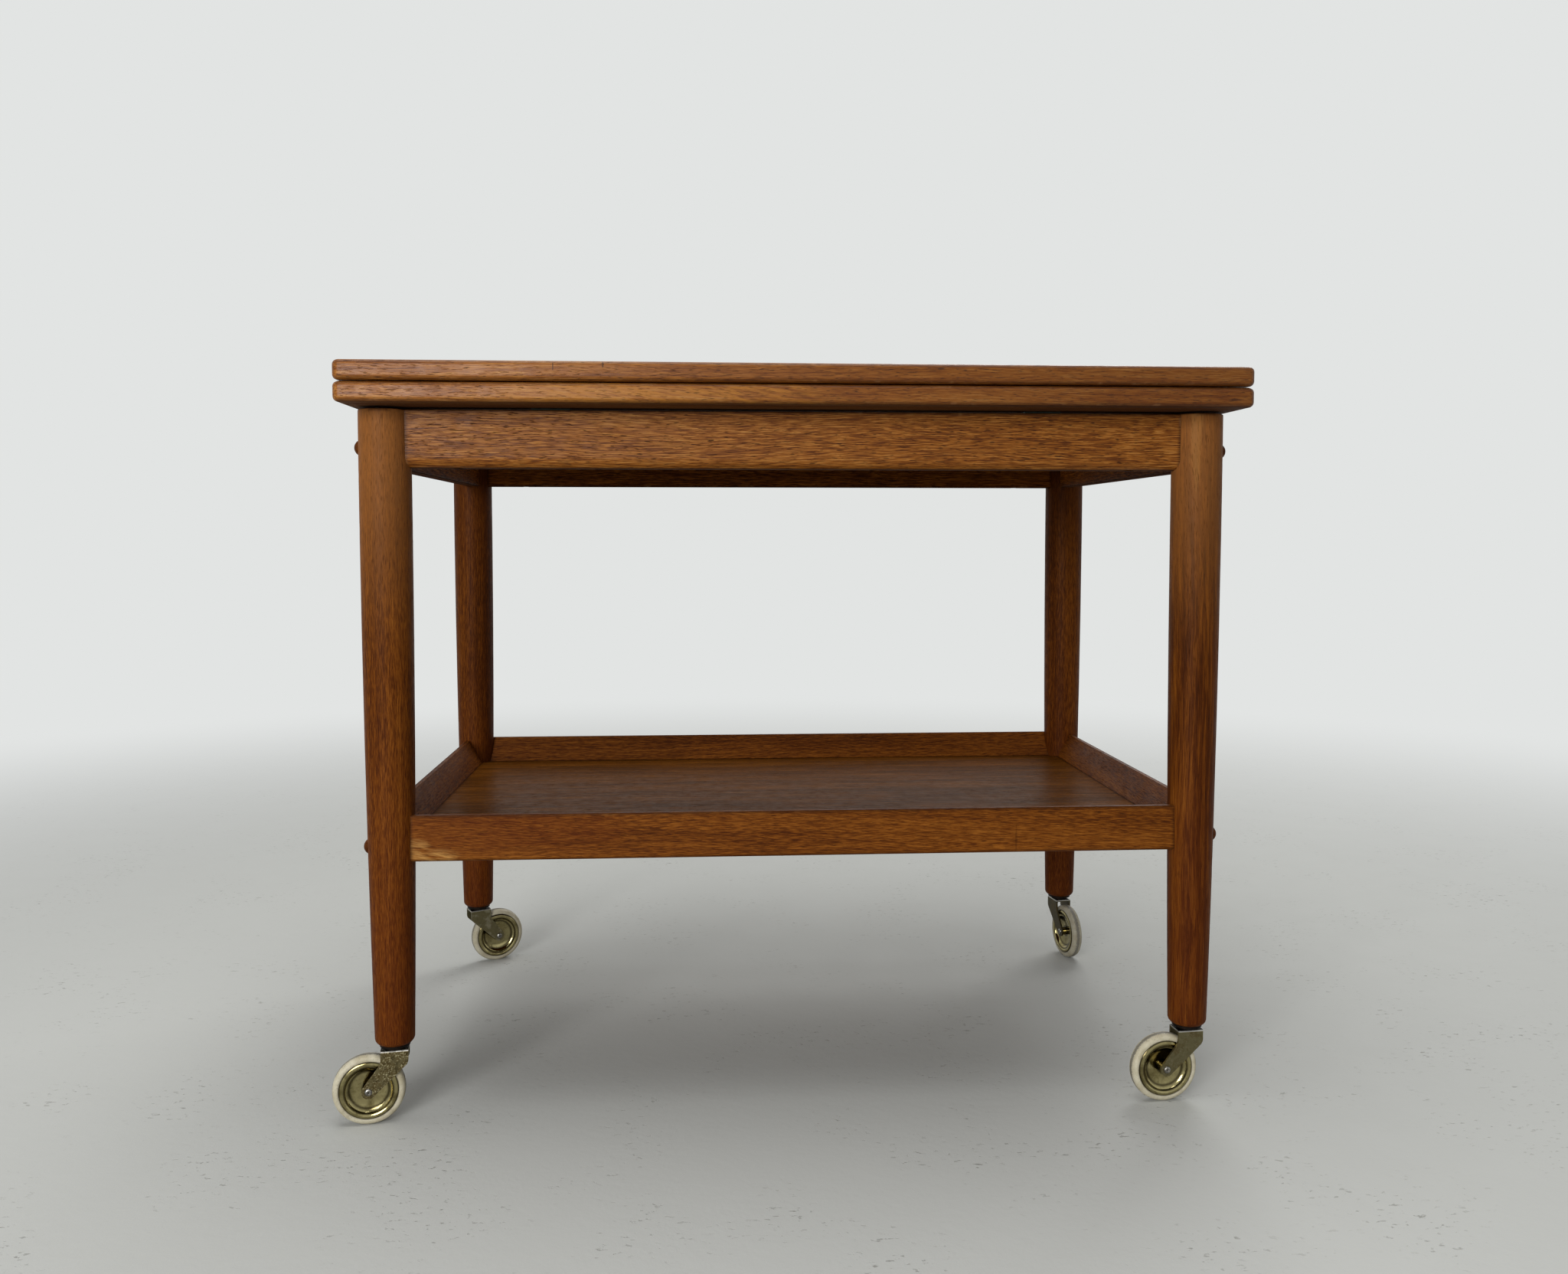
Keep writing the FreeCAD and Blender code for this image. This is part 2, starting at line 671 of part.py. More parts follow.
def apron_section(middle):
    outer = -middle - apron_half
    inner = -middle + apron_half
    points = (
        (outer + dim.apron_round, apron_bottom),
        (inner - dim.edge_ease, apron_bottom),
        (inner, apron_bottom + dim.edge_ease),
        (inner, frame_top),
        (outer + dim.edge_ease, frame_top),
        (outer, frame_top - dim.edge_ease),
        (outer, apron_bottom + dim.apron_round),
    )
    arcs = {1: (dim.edge_ease, LEFT), 4: (dim.edge_ease, LEFT), 6: (dim.apron_round, LEFT)}
    return points, arcs


rail_outer = leg_x - apron_half
rail_inner = rail_outer - dim.rail_thickness
rail_top = frame_top - dim.rail_drop
rail_bottom = rail_top - dim.rail_height
slot_bottom = rail_bottom + dim.slot_rise
slot_top = slot_bottom + dim.slot_height
rail_half = leg_y - dim.leg_top_radius - dim.rail_end_gap
rail_screw_count = 3
rail_screw_pitch = (rail_half - dim.rail_screw_inset) * 2 / (rail_screw_count - 1)
rail_screw_spot = (-rail_inner, -rail_half + dim.rail_screw_inset, rail_bottom + dim.rail_screw_rise)
rail_screw_left, rail_screw_room = screw_sets(
    "rail_screw_left", dim.rail_screw_length, rail_screw_count, "Y_Axis", rail_screw_pitch,
    rail_screw_spot, Y_WAY, -QUARTER_TURN)
keep(group("rail_screws", [rail_screw_left, mirror("rail_screw_right", rail_screw_left, X_WAY)]))

section, rounds = apron_section(leg_y)
apron_front_bar = prism("apron_front_bar", "YZ_Plane", section, -leg_x, leg_x * 2, rounds)
apron_front = keep(cut("apron_front", apron_front_bar, [leg_room, bolt_room, nut_room]))
keep(mirror("apron_rear", apron_front, Y_WAY))
section, rounds = apron_section(leg_x)
apron_left_bar = prism("apron_left_bar", "XZ_Plane", section, -leg_y, leg_y * 2, rounds)
apron_left = keep(cut("apron_left", apron_left_bar, [leg_room, dowel_room, rail_screw_room]))
keep(mirror("apron_right", apron_left, X_WAY))

# Tray: rims with bevelled inner faces, grooved for the floor panel


def rim_section(middle):
    outer = -middle - rim_half
    inner = -middle + rim_half
    groove = inner - dim.tray_groove_depth
    groove_top = tray_floor + dim.panel_play
    points = (
        (outer + dim.rim_round, rim_bottom),
        (inner - dim.edge_ease, rim_bottom),
        (inner, rim_bottom + dim.edge_ease),
        (inner, tray_underside),
        (groove, tray_underside),
        (groove, groove_top),
        (inner, groove_top),
        (outer + dim.rim_top_thickness, rim_top),
        (outer + dim.edge_ease, rim_top),
        (outer, rim_top - dim.edge_ease),
        (outer, rim_bottom + dim.rim_round),
    )
    arcs = {1: (dim.edge_ease, LEFT), 8: (dim.edge_ease, LEFT), 10: (dim.rim_round, LEFT)}
    return points, arcs


section, rounds = rim_section(leg_y)
rim_front_bar = prism("rim_front_bar", "YZ_Plane", section, -leg_x, leg_x * 2, rounds)
rim_front = keep(cut("tray_rim_front", rim_front_bar, [leg_room, bolt_room, nut_room]))
keep(mirror("tray_rim_rear", rim_front, Y_WAY))
section, rounds = rim_section(leg_x)
rim_left_bar = prism("rim_left_bar", "XZ_Plane", section, -leg_y, leg_y * 2, rounds)
rim_left = keep(cut("tray_rim_left", rim_left_bar, [leg_room, dowel_room]))
keep(mirror("tray_rim_right", rim_left, X_WAY))

panel_half_x = leg_x - rim_half + dim.tray_groove_depth - dim.panel_play
panel_half_y = leg_y - rim_half + dim.tray_groove_depth - dim.panel_play
panel_points = (
    (-panel_half_x, -panel_half_y),
    (panel_half_x, -panel_half_y),
    (panel_half_x, panel_half_y),
    (-panel_half_x, panel_half_y),
)
tray_blank = prism("tray_blank", "XY_Plane", panel_points, tray_underside, dim.tray_panel_thickness)
keep(cut("tray_panel", tray_blank, [leg_room]))

# Slide: slotted rails on the short aprons, runners with tongues under the lower leaf

rail_points = (
    (-rail_outer, rail_bottom),
    (-rail_inner, rail_bottom),
    (-rail_inner, slot_bottom),
    (-rail_inner - dim.slot_depth, slot_bottom),
    (-rail_inner - dim.slot_depth, slot_top),
    (-rail_inner, slot_top),
    (-rail_inner, rail_top),
    (-rail_outer, rail_top),
)
rail_bar = prism("rail_bar", "XZ_Plane", rail_points, -rail_half, rail_half * 2)
rail_left = keep(cut("rail_left", rail_bar, [rail_screw_room]))
keep(mirror("rail_right", rail_left, X_WAY))

slide_travel = half_depth
inside_half = leg_y - apron_half
runner_back = inside_half - dim.stop_gap
runner_length = inside_half * 2 - dim.stop_gap * 2 - slide_travel
runner_front = runner_back - runner_length
runner_bottom = lower_bottom - dim.runner_drop
runner_outer = -rail_inner + dim.slide_play
runner_inner = runner_outer + dim.runner_thickness
tongue_tip = -rail_inner - dim.slot_depth + dim.slide_play
tongue_bottom = slot_bottom + dim.slide_play
tongue_top = slot_top - dim.slide_play
runner_points = (
    (runner_outer, runner_bottom),
    (runner_inner, runner_bottom),
    (runner_inner, lower_bottom),
    (runner_outer, lower_bottom),
    (runner_outer, tongue_top),
    (tongue_tip, tongue_top),
    (tongue_tip, tongue_bottom),
    (runner_outer, tongue_bottom),
)
runner_bar = prism("runner_bar", "XZ_Plane", runner_points, runner_front, runner_length)
runner_screw_count = 2
runner_screw_spot = ((runner_outer + runner_inner) / 2, runner_front + dim.runner_screw_inset, runner_bottom)
runner_screw_left, runner_screw_room = screw_sets(
    "runner_screw_left", dim.runner_screw_length, runner_screw_count, "Y_Axis",
    runner_length - dim.runner_screw_inset * 2, runner_screw_spot, Z_WAY, 0)
keep(group("runner_screws", [runner_screw_left, mirror("runner_screw_right", runner_screw_left, X_WAY)]))
runner_left = keep(cut("runner_left", runner_bar, [runner_screw_room]))
keep(mirror("runner_right", runner_left, X_WAY))

glide_corner = (-leg_x + dim.glide_inset - dim.glide_length / 2, -leg_y - dim.glide_width / 2, frame_top)
glide_sides = (dim.glide_length, dim.glide_width, dim.top_clearance - dim.glide_gap)
keep(quarters("glide_pads", [box("glide_pad", glide_corner, glide_sides)]))

# Hinges: flaps let into the mating faces, knuckles on an axis just behind the rear edge

hinge_count = 3
flap_clear = dim.knuckle_radius + dim.knuckle_gap
knuckle_end_share = 1 / 4
hinge_first = -half_length + dim.hinge_inset
hinge_pitch = -hinge_first * 2 / (hinge_count - 1)
pin_room_radius = dim.hinge_pin_radius + dim.fit_play


def make_flap(label, middle_x, bottom, knuckle_spans, pin_room):
    """One hinge flap with its own knuckles, bored for the pin."""
    start_x = middle_x - dim.hinge_length / 2
    plate_corner = (start_x, hinge_back - dim.hinge_flap_width, bottom)
    plate_sides = (dim.hinge_length, dim.hinge_flap_width - flap_clear, dim.hinge_thickness)
    pieces = [box(label + "_plate", plate_corner, plate_sides)]
    for span_start, span_length in knuckle_spans:
        tab_corner = (start_x + span_start, hinge_back - flap_clear, bottom)
        pieces.append(box(label + "_tab", tab_corner, (span_length, flap_clear, dim.hinge_thickness)))
        base = (start_x + span_start, hinge_back, hinge_height)
        pieces.append(rod(label + "_knuckle", base, dim.knuckle_radius, span_length, "X"))
    return cut(label, fuse(label + "_whole", pieces), [pin_room])


end_length = dim.hinge_length * knuckle_end_share - dim.knuckle_gap
middle_start = dim.hinge_length * knuckle_end_share
middle_length = dim.hinge_length - middle_start * 2
end_spans = ((NOTHING, end_length), (dim.hinge_length - end_length, end_length))
middle_spans = ((middle_start, middle_length),)
upper_flap_bottom = lower_top + dim.leaf_gap
lower_flap_bottom = lower_top - dim.hinge_thickness
lower_flaps = []
upper_flaps = []
pins = []
mortises = []
barrel_rooms = []
for number in range(hinge_count):
    middle_x = hinge_first + hinge_pitch * number
    start_x = middle_x - dim.hinge_length / 2
    pin_room_base = (start_x - overrun, hinge_back, hinge_height)
    pin_room = rod("pin_room", pin_room_base, pin_room_radius, dim.hinge_length + overrun * 2, "X")
    lower_flaps.append(make_flap("lower_flap", middle_x, lower_flap_bottom, end_spans, pin_room))
    upper_flaps.append(make_flap("upper_flap", middle_x, upper_flap_bottom, middle_spans, pin_room))
    pin_base = (start_x, hinge_back, hinge_height)
    pins.append(rod("hinge_pin", pin_base, dim.hinge_pin_radius, dim.hinge_length, "X"))
    mortise_corner = (
        start_x - dim.fit_play, hinge_back - dim.hinge_flap_width - dim.fit_play, lower_flap_bottom)
    mortise_sides = (
        dim.hinge_length + dim.fit_play * 2, dim.hinge_flap_width + overrun, dim.hinge_thickness + overrun)
    mortises.append(box("mortise", mortise_corner, mortise_sides))
    barrel_base = (start_x - dim.knuckle_gap, hinge_back, hinge_height)
    barrel_length = dim.hinge_length + dim.knuckle_gap * 2
    barrel_rooms.append(rod("barrel_room", barrel_base, flap_clear, barrel_length, "X"))

keep(group("hinge_pins", pins))
mortise_room = group("mortise_room", mortises)
barrel_room = group("barrel_room", barrel_rooms)

screws_per_flap = 3
hinge_screw_spot = (
    hinge_first - dim.hinge_screw_pitch * (screws_per_flap - 1) / 2,
    hinge_back - dim.hinge_screw_setback,
    lower_top)
hinge_screws, hinge_screw_room = screw_sets(
    "hinge_lower_screws", dim.hinge_screw_length, screws_per_flap, "X_Axis", dim.hinge_screw_pitch,
    hinge_screw_spot, X_WAY, HALF_TURN,
    ("X_Axis", hinge_pitch * (hinge_count - 1), hinge_count))
keep(hinge_screws)
keep(mirror("hinge_upper_screws", hinge_screws, Z_WAY, hinge_height))
upper_screw_room = mirror("upper_screw_room", hinge_screw_room, Z_WAY, hinge_height)
keep(cut("hinge_lower_plates", group("lower_flaps", lower_flaps), [hinge_screw_room]))
keep(cut("hinge_upper_plates", group("upper_flaps", upper_flaps), [upper_screw_room]))

# Leaves: one shape with rounded edges, parted into a panel and four lippings

corner = dim.leaf_corner_round
leaf_points = (
    (-half_length + corner, -half_depth),
    (half_length - corner, -half_depth),
    (half_length, -half_depth + corner),
    (half_length, half_depth - corner),
    (half_length - corner, half_depth),
    (-half_length + corner, half_depth),
    (-half_length, half_depth - corner),
    (-half_length, -half_depth + corner),
)
leaf_arcs = {side: (corner, LEFT) for side in (1, 3, 5, 7)}
leaf_blank = prism("leaf_blank", "XY_Plane", leaf_points, lower_bottom, dim.leaf_thickness, leaf_arcs)


def lies_flat(edge):
    """True for an edge in the upper or the lower face of the leaf."""
    return edge.BoundBox.ZLength < dim.fit_play.worth


round_edges(leaf_blank, leaf_blank.Tip, dim.leaf_edge_round, lies_flat)
leaf_shape = cut("leaf_shape", leaf_blank, [mortise_room, barrel_room])

panel_x = half_length - dim.lipping_width
panel_y = half_depth - dim.lipping_width
strip = dim.lipping_width + overrun
slab_bottom = lower_bottom - overrun
slab_height = dim.leaf_thickness + overrun * 2
full_x = half_length + overrun
leaf_boxes = {
    "panel": ((-panel_x, -panel_y, slab_bottom), (panel_x * 2, panel_y * 2, slab_height)),
    "lipping_front": ((-full_x, -panel_y - strip, slab_bottom), (full_x * 2, strip, slab_height)),
    "lipping_rear": ((-full_x, panel_y, slab_bottom), (full_x * 2, strip, slab_height)),
    "lipping_left": ((-panel_x - strip, -panel_y, slab_bottom), (strip, panel_y * 2, slab_height)),
    "lipping_right": ((panel_x, -panel_y, slab_bottom), (strip, panel_y * 2, slab_height)),
}
for piece, (box_corner, box_sides) in leaf_boxes.items():
    limits = box(piece + "_limits", box_corner, box_sides)
    cut_piece = common("leaf_" + piece, leaf_shape, limits)
    if piece == "panel":
        cut_piece = cut("leaf_panel_bored", cut_piece, [hinge_screw_room])
        right_room = mirror("runner_screw_room_right", runner_screw_room, X_WAY)
        keep(cut("lower_leaf_panel", cut_piece, [runner_screw_room, right_room]))
    else:
        keep(group("lower_leaf_" + piece, [cut_piece]))
    keep(mirror("upper_leaf_" + piece, cut_piece, Z_WAY, hinge_height))

# Casters: a socket in each foot, a stem riveted in a bent fork, and a two-disc wheel with a tyre

flange_bottom = dim.leg_foot_height - dim.socket_flange
socket_inner = dim.stem_radius + dim.stem_play
socket_points = (
    (socket_inner, flange_bottom),
    (dim.socket_flange_radius, flange_bottom),
    (dim.socket_flange_radius, dim.leg_foot_height),
    (dim.socket_radius, dim.leg_foot_height),
    (dim.socket_radius, dim.leg_foot_height + dim.socket_length),
    (socket_inner, dim.leg_foot_height + dim.socket_length),
)
sockets = turning("caster_sockets", socket_points)
repeat(sockets, "X_Axis", leg_x * 2, 2, "Y_Axis", leg_y * 2, 2)
keep(place(sockets, -leg_x, -leg_y, NOTHING))

fork_top = dim.leg_foot_height - dim.fork_foot_gap
fork_under = fork_top - dim.fork_thickness
fork_width = dim.fork_inner_width + dim.fork_thickness * 2
fork_half = fork_width / 2
shoulder_top = flange_bottom - dim.shoulder_gap
wheel_radius = (fork_under - dim.wheel_head_room) / 2
axle_height = wheel_radius
trail = wheel_radius - dim.wheel_lead
tyre_side_radius = wheel_radius - dim.tyre_side_depth
tyre_foot_radius = wheel_radius - dim.tyre_depth
disc_edge_radius = tyre_side_radius - dim.disc_edge_gap
disc_bead_radius = tyre_foot_radius - dim.disc_edge_gap
disc_dish_radius = disc_bead_radius - dim.disc_bead_flat
disc_web_radius = disc_dish_radius - dim.disc_dish_run
hub_face = dim.fork_inner_width / 2 - dim.hub_gap
wheel_bore = dim.axle_radius + dim.axle_play


def arm_edge(side_x, run, drop, bend, side):
    """One edge of a fork arm: an upright, a round bend and a slope that meets the arm end smoothly.

    side is LEFT for the leading edge and RIGHT for the trailing edge.
    """
    slant = root(run * run + drop * drop)
    end_x = trail - dim.fork_end_radius * drop / slant * side
    end_z = axle_height - dim.fork_end_radius * run / slant * side
    bend_x = side_x + bend - bend * drop / slant
    bend_z = end_z + (end_x - bend_x) * drop / run
    upright_z = bend_z + bend * run / slant
    return [(side_x, fork_top), (side_x, upright_z), (bend_x, bend_z), (end_x, end_z)]


def make_fork(label):
    """Bent sheet fork: two slanting arms with round ends under a flat top."""
    lead = arm_edge(-dim.fork_front, dim.fork_lead_run, dim.fork_lead_drop, dim.fork_lead_round, LEFT)
    rear = arm_edge(dim.fork_rear, dim.fork_rear_run, dim.fork_rear_drop, dim.fork_rear_round, RIGHT)
    lowest = (trail, axle_height - dim.fork_end_radius)
    points = lead + [lowest] + rear[::-1]
    arcs = {
        1: (dim.fork_lead_round, LEFT),
        3: (dim.fork_end_radius, LEFT),
        4: (dim.fork_end_radius, LEFT),
        6: (dim.fork_rear_round, RIGHT),
    }
    rear_end = trail + dim.fork_end_radius
    axle_hole = (trail, axle_height, dim.axle_radius + dim.fit_play)
    fork = prism(label, "XZ_Plane", points, -fork_half, fork_width, arcs, [axle_hole])
    round_edges(fork, fork.Tip, dim.fork_bend_round, is_fork_bend)
    reach = rear_end + overrun
    inside = new_sketch(fork, "YZ_Plane", reach)
    inside_half = dim.fork_inner_width / 2
    outline(inside, (
        (-inside_half, -overrun),
        (inside_half, -overrun),
        (inside_half, fork_under),
        (-inside_half, fork_under),
    ))
    pocket(fork, inside, reach + dim.fork_front + overrun)
    stem_hole = new_sketch(fork, "XY_Plane", fork_top + overrun)
    ring(stem_hole, NOTHING, NOTHING, dim.stem_neck_radius + dim.fit_play)
    pocket(fork, stem_hole, dim.fork_thickness + overrun * 2)
    return fork


def is_fork_bend(edge):
    """True for the two long upper edges of the fork blank."""
    bounds = edge.BoundBox
    on_top = abs(bounds.ZMin - fork_top.worth) < dim.fit_play.worth
    return on_top and bounds.XLength > bounds.YLength


def make_stem(label):
    points = (
        (0, fork_under - dim.stem_rivet),
        (dim.stem_rivet_radius, fork_under - dim.stem_rivet),
        (dim.stem_rivet_radius, fork_under),
        (dim.stem_neck_radius, fork_under),
        (dim.stem_neck_radius, fork_top),
        (dim.shoulder_radius, fork_top),
        (dim.shoulder_radius, shoulder_top),
        (dim.stem_radius, shoulder_top),
        (dim.stem_radius, shoulder_top + dim.stem_length),
        (0, shoulder_top + dim.stem_length),
    )
    return turning(label, points)


def wheel_turning(label, outlines):
    """Pieces turned about the axle; points are distance along the axle and radius."""
    body = new_body(label)
    sketch = new_sketch(body, "YZ_Plane", trail, NOTHING, axle_height)
    for points, arcs in outlines:
        outline(sketch, points, arcs)
    feature = body.newObject("PartDesign::Revolution", label + "_turn")
    feature.Profile = sketch
    feature.ReferenceAxis = (sketch, ["H_Axis"])
    feature.Angle = FULL_TURN
    return body


def make_axle(label):
    """Riveted axle with a round head and a small recess at each end."""
    end = fork_half + dim.axle_head
    recess_end = end - dim.axle_recess
    crown_width = dim.axle_head_radius - dim.axle_recess_radius
    crown = (crown_width * crown_width + dim.axle_head * dim.axle_head) / (dim.axle_head * 2)
    half = [
        (recess_end, NOTHING),
        (recess_end, dim.axle_recess_radius),
        (end, dim.axle_recess_radius),
        (fork_half, dim.axle_head_radius),
        (fork_half, dim.axle_radius),
    ]
    points = half + [(-along, radius) for along, radius in half[::-1]]
    return wheel_turning(label, [(points, {2: (crown, LEFT), 6: (crown, LEFT)})])


def make_discs(label):
    """The two pressed discs: collar, sunk centre, dished slope and rolled bead."""
    sheet_thick = dim.disc_thickness
    bead_inner_face = dim.tyre_foot_width / 2
    bead_outer_face = bead_inner_face + sheet_thick
    web_face = dim.disc_web_offset + sheet_thick
    profile = (
        (dim.disc_middle_gap, wheel_bore),
        (hub_face, wheel_bore),
        (hub_face, dim.disc_collar_radius),
        (web_face, dim.disc_collar_radius),
        (web_face, disc_web_radius),
        (bead_outer_face, disc_dish_radius),
        (bead_outer_face, disc_bead_radius),
        (bead_outer_face, disc_edge_radius),
        (bead_inner_face, disc_edge_radius),
        (bead_inner_face, disc_dish_radius + sheet_thick / 2),
        (dim.disc_web_offset, disc_web_radius + sheet_thick / 2),
        (dim.disc_web_offset, dim.disc_collar_radius),
        (dim.disc_middle_gap, dim.disc_collar_radius),
    )
    other = tuple((-along, radius) for along, radius in profile)
    hollow = dim.disc_dish_hollow
    crown = dim.disc_bead_crown
    near = (profile, {4: (hollow, RIGHT), 6: (crown, LEFT)})
    far = (other, {4: (hollow, LEFT), 6: (crown, RIGHT)})
    return wheel_turning(label, [near, far])


def make_tyre(label):
    foot = dim.tyre_foot_width / 2
    side = dim.tread_width / 2
    tread = side - dim.tread_round
    shoulder = wheel_radius - dim.tread_round
    points = (
        (-foot, tyre_foot_radius),
        (foot, tyre_foot_radius),
        (foot, tyre_side_radius),
        (side, tyre_side_radius),
        (side, shoulder),
        (tread, wheel_radius),
        (-tread, wheel_radius),
        (-side, shoulder),
        (-side, tyre_side_radius),
        (-foot, tyre_side_radius),
    )
    return wheel_turning(label, [(points, {4: (dim.tread_round, LEFT), 6: (dim.tread_round, LEFT)})])


makers = {"fork": make_fork, "stem": make_stem, "axle": make_axle, "discs": make_discs, "tyre": make_tyre}
stations = {
    "front_left": (-leg_x, -leg_y, dim.front_left_angle),
    "front_right": (leg_x, -leg_y, dim.front_right_angle),
    "rear_left": (-leg_x, leg_y, dim.rear_left_angle),
    "rear_right": (leg_x, leg_y, dim.rear_right_angle),
}
for station, (station_x, station_y, turn) in stations.items():
    for piece, maker in makers.items():
        item = maker(f"caster_{station}_{piece}")
        place(item, station_x, station_y, NOTHING, Z_WAY, turn.worth)
        bind(item, ".Placement.Rotation.Angle", turn)
        keep(item)

# Recompute, check and write every piece

doc.recompute()
faults = []
for item in doc.Objects:
    if "Invalid" in item.State or "Error" in item.State:
        faults.append(f"{item.Label}: {item.State}")
for item in finished:
    shape = item.Shape
    if shape.isNull() or not shape.isValid() or not shape.Solids:
        faults.append(f"{item.Label}: bad shape")
if faults:
    raise RuntimeError("; ".join(faults))

os.makedirs("parts", exist_ok=True)
for item in finished:
    item.Shape.exportStep(f"parts/{item.Label}.step")
    print(item.Label, len(item.Shape.Solids), round(item.Shape.Volume))
print("pieces written:", len(finished))
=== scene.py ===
"""Looks for the fold-over tea trolley: materials, turned wheels, floor, soft light and the camera."""

import json
import math

import bmesh
import bpy
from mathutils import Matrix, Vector


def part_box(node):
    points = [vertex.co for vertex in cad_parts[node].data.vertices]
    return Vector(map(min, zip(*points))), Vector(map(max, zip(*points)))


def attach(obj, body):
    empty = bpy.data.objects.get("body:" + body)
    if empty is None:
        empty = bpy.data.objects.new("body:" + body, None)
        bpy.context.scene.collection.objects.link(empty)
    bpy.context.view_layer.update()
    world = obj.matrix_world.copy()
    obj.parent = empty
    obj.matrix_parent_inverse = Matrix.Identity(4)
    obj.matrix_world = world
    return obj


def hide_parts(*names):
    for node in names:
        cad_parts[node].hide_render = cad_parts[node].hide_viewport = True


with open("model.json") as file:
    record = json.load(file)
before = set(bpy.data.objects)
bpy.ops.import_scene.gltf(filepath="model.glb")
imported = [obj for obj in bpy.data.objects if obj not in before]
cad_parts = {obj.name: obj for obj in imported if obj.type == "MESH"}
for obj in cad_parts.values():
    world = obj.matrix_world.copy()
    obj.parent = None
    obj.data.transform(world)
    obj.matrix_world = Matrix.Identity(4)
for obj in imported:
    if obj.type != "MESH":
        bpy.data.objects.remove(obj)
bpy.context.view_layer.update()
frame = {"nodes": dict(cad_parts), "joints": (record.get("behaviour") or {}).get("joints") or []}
pieces = dict(frame["nodes"])
joints = {joint["name"]: joint for joint in frame["joints"]}

# Colours, as red, green and blue out of 255

TEAK_PALE = (178, 124, 62)
TEAK_WARM = (148, 90, 31)
TEAK_BROWN = (113, 62, 16)
TEAK_DARK = (74, 35, 8)
TEAK_DEEP = (44, 19, 5)
TEAK_PORE = (38, 16, 5)
TEAK_WORN = (178, 130, 86)
TEAK_RED = (88, 36, 9)
# Colour of the painted highlight on the upper front legs
TEAK_PAINTED_HIGHLIGHT = (182, 121, 67)
TEAK_GOLD = (164, 106, 36)
TEAK_OLIVE = (96, 64, 16)
SAPWOOD = (186, 138, 76)
BEECH_PALE = (206, 168, 124)
BEECH_WARM = (186, 142, 98)
BEECH_FLECK = (150, 104, 66)
BRASS_CLEAN = (168, 157, 112)
BRASS_DULL = (104, 92, 54)
BRASS_DARK = (40, 31, 16)
NICKEL_CLEAN = (148, 141, 118)
NICKEL_OLIVE = (106, 99, 72)
NICKEL_BROWN = (92, 79, 50)
NICKEL_PIT = (182, 174, 138)
NICKEL_DARK = (74, 68, 50)
IRON_BLACK = (30, 27, 25)
IRON_RUST = (66, 44, 30)
STEEL_CLEAN = (176, 174, 168)
STEEL_DULL = (112, 108, 100)
CREAM_CLEAN = (204, 197, 173)
CREAM_AGED = (178, 168, 140)
TREAD_GREY = (88, 84, 77)
FELT_GREEN = (28, 36, 27)
FELT_LINT = (56, 63, 52)
FLOOR_GREY = (190, 191, 187)
FLOOR_SPECK = (128, 127, 120)
BACKDROP = (226, 228, 227)

# Kinds of noise: levels of detail, and how strong the finer levels are

SMOOTH = (1.0, 0.5)
SOFT = (2.0, 0.5)
LIVELY = (2.0, 0.6)
EVEN = (3.0, 0.5)
RAGGED = (3.0, 0.6)
CRISP = (3.0, 0.65)
MIXED = (4.0, 0.6)
GRAINY = (4.0, 0.65)
MATTED = (4.0, 0.7)

# The middle of the noise's values, and the ranges that hold most of them and nearly all of them

NOISE_MIDDLE = 0.5
NOISE_MOST = (0.3, 0.7)
NOISE_WHOLE = (0.2, 0.8)

# Sizes that several materials share, in metres

MILLIMETRE = 0.001
PORE_LENGTH = 7 * MILLIMETRE
PORE_WIDTH = 0.65 * MILLIMETRE
PORE_BUMP = 0.12 * MILLIMETRE
STREAK_LENGTH = 80 * MILLIMETRE
STREAK_WIDTH = 1.6 * MILLIMETRE
CLOUD_LENGTH = 240 * MILLIMETRE
CLOUD_WIDTH = 26 * MILLIMETRE

# The step between places in a log, and where a patch begins to fade and how ragged its edge is

SEED_STEP = 1.37
SPOT_CORE = 0.55
SPOT_FRAY = 1.2

# Turns that lay a board's first axis along the grain

GRAIN_TURNS = {"X": (0, 0, 0), "Y": (0, 0, math.pi / 2), "Z": (0, -math.pi / 2, 0)}


def linear(colour):
    """A colour out of 255 as the light values that a shader takes."""
    values = []
    for part in colour:
        share = part / 255
        values.append(share / 12.92 if share <= 0.04045 else ((share + 0.055) / 1.055) ** 2.4)
    return (*values, 1)


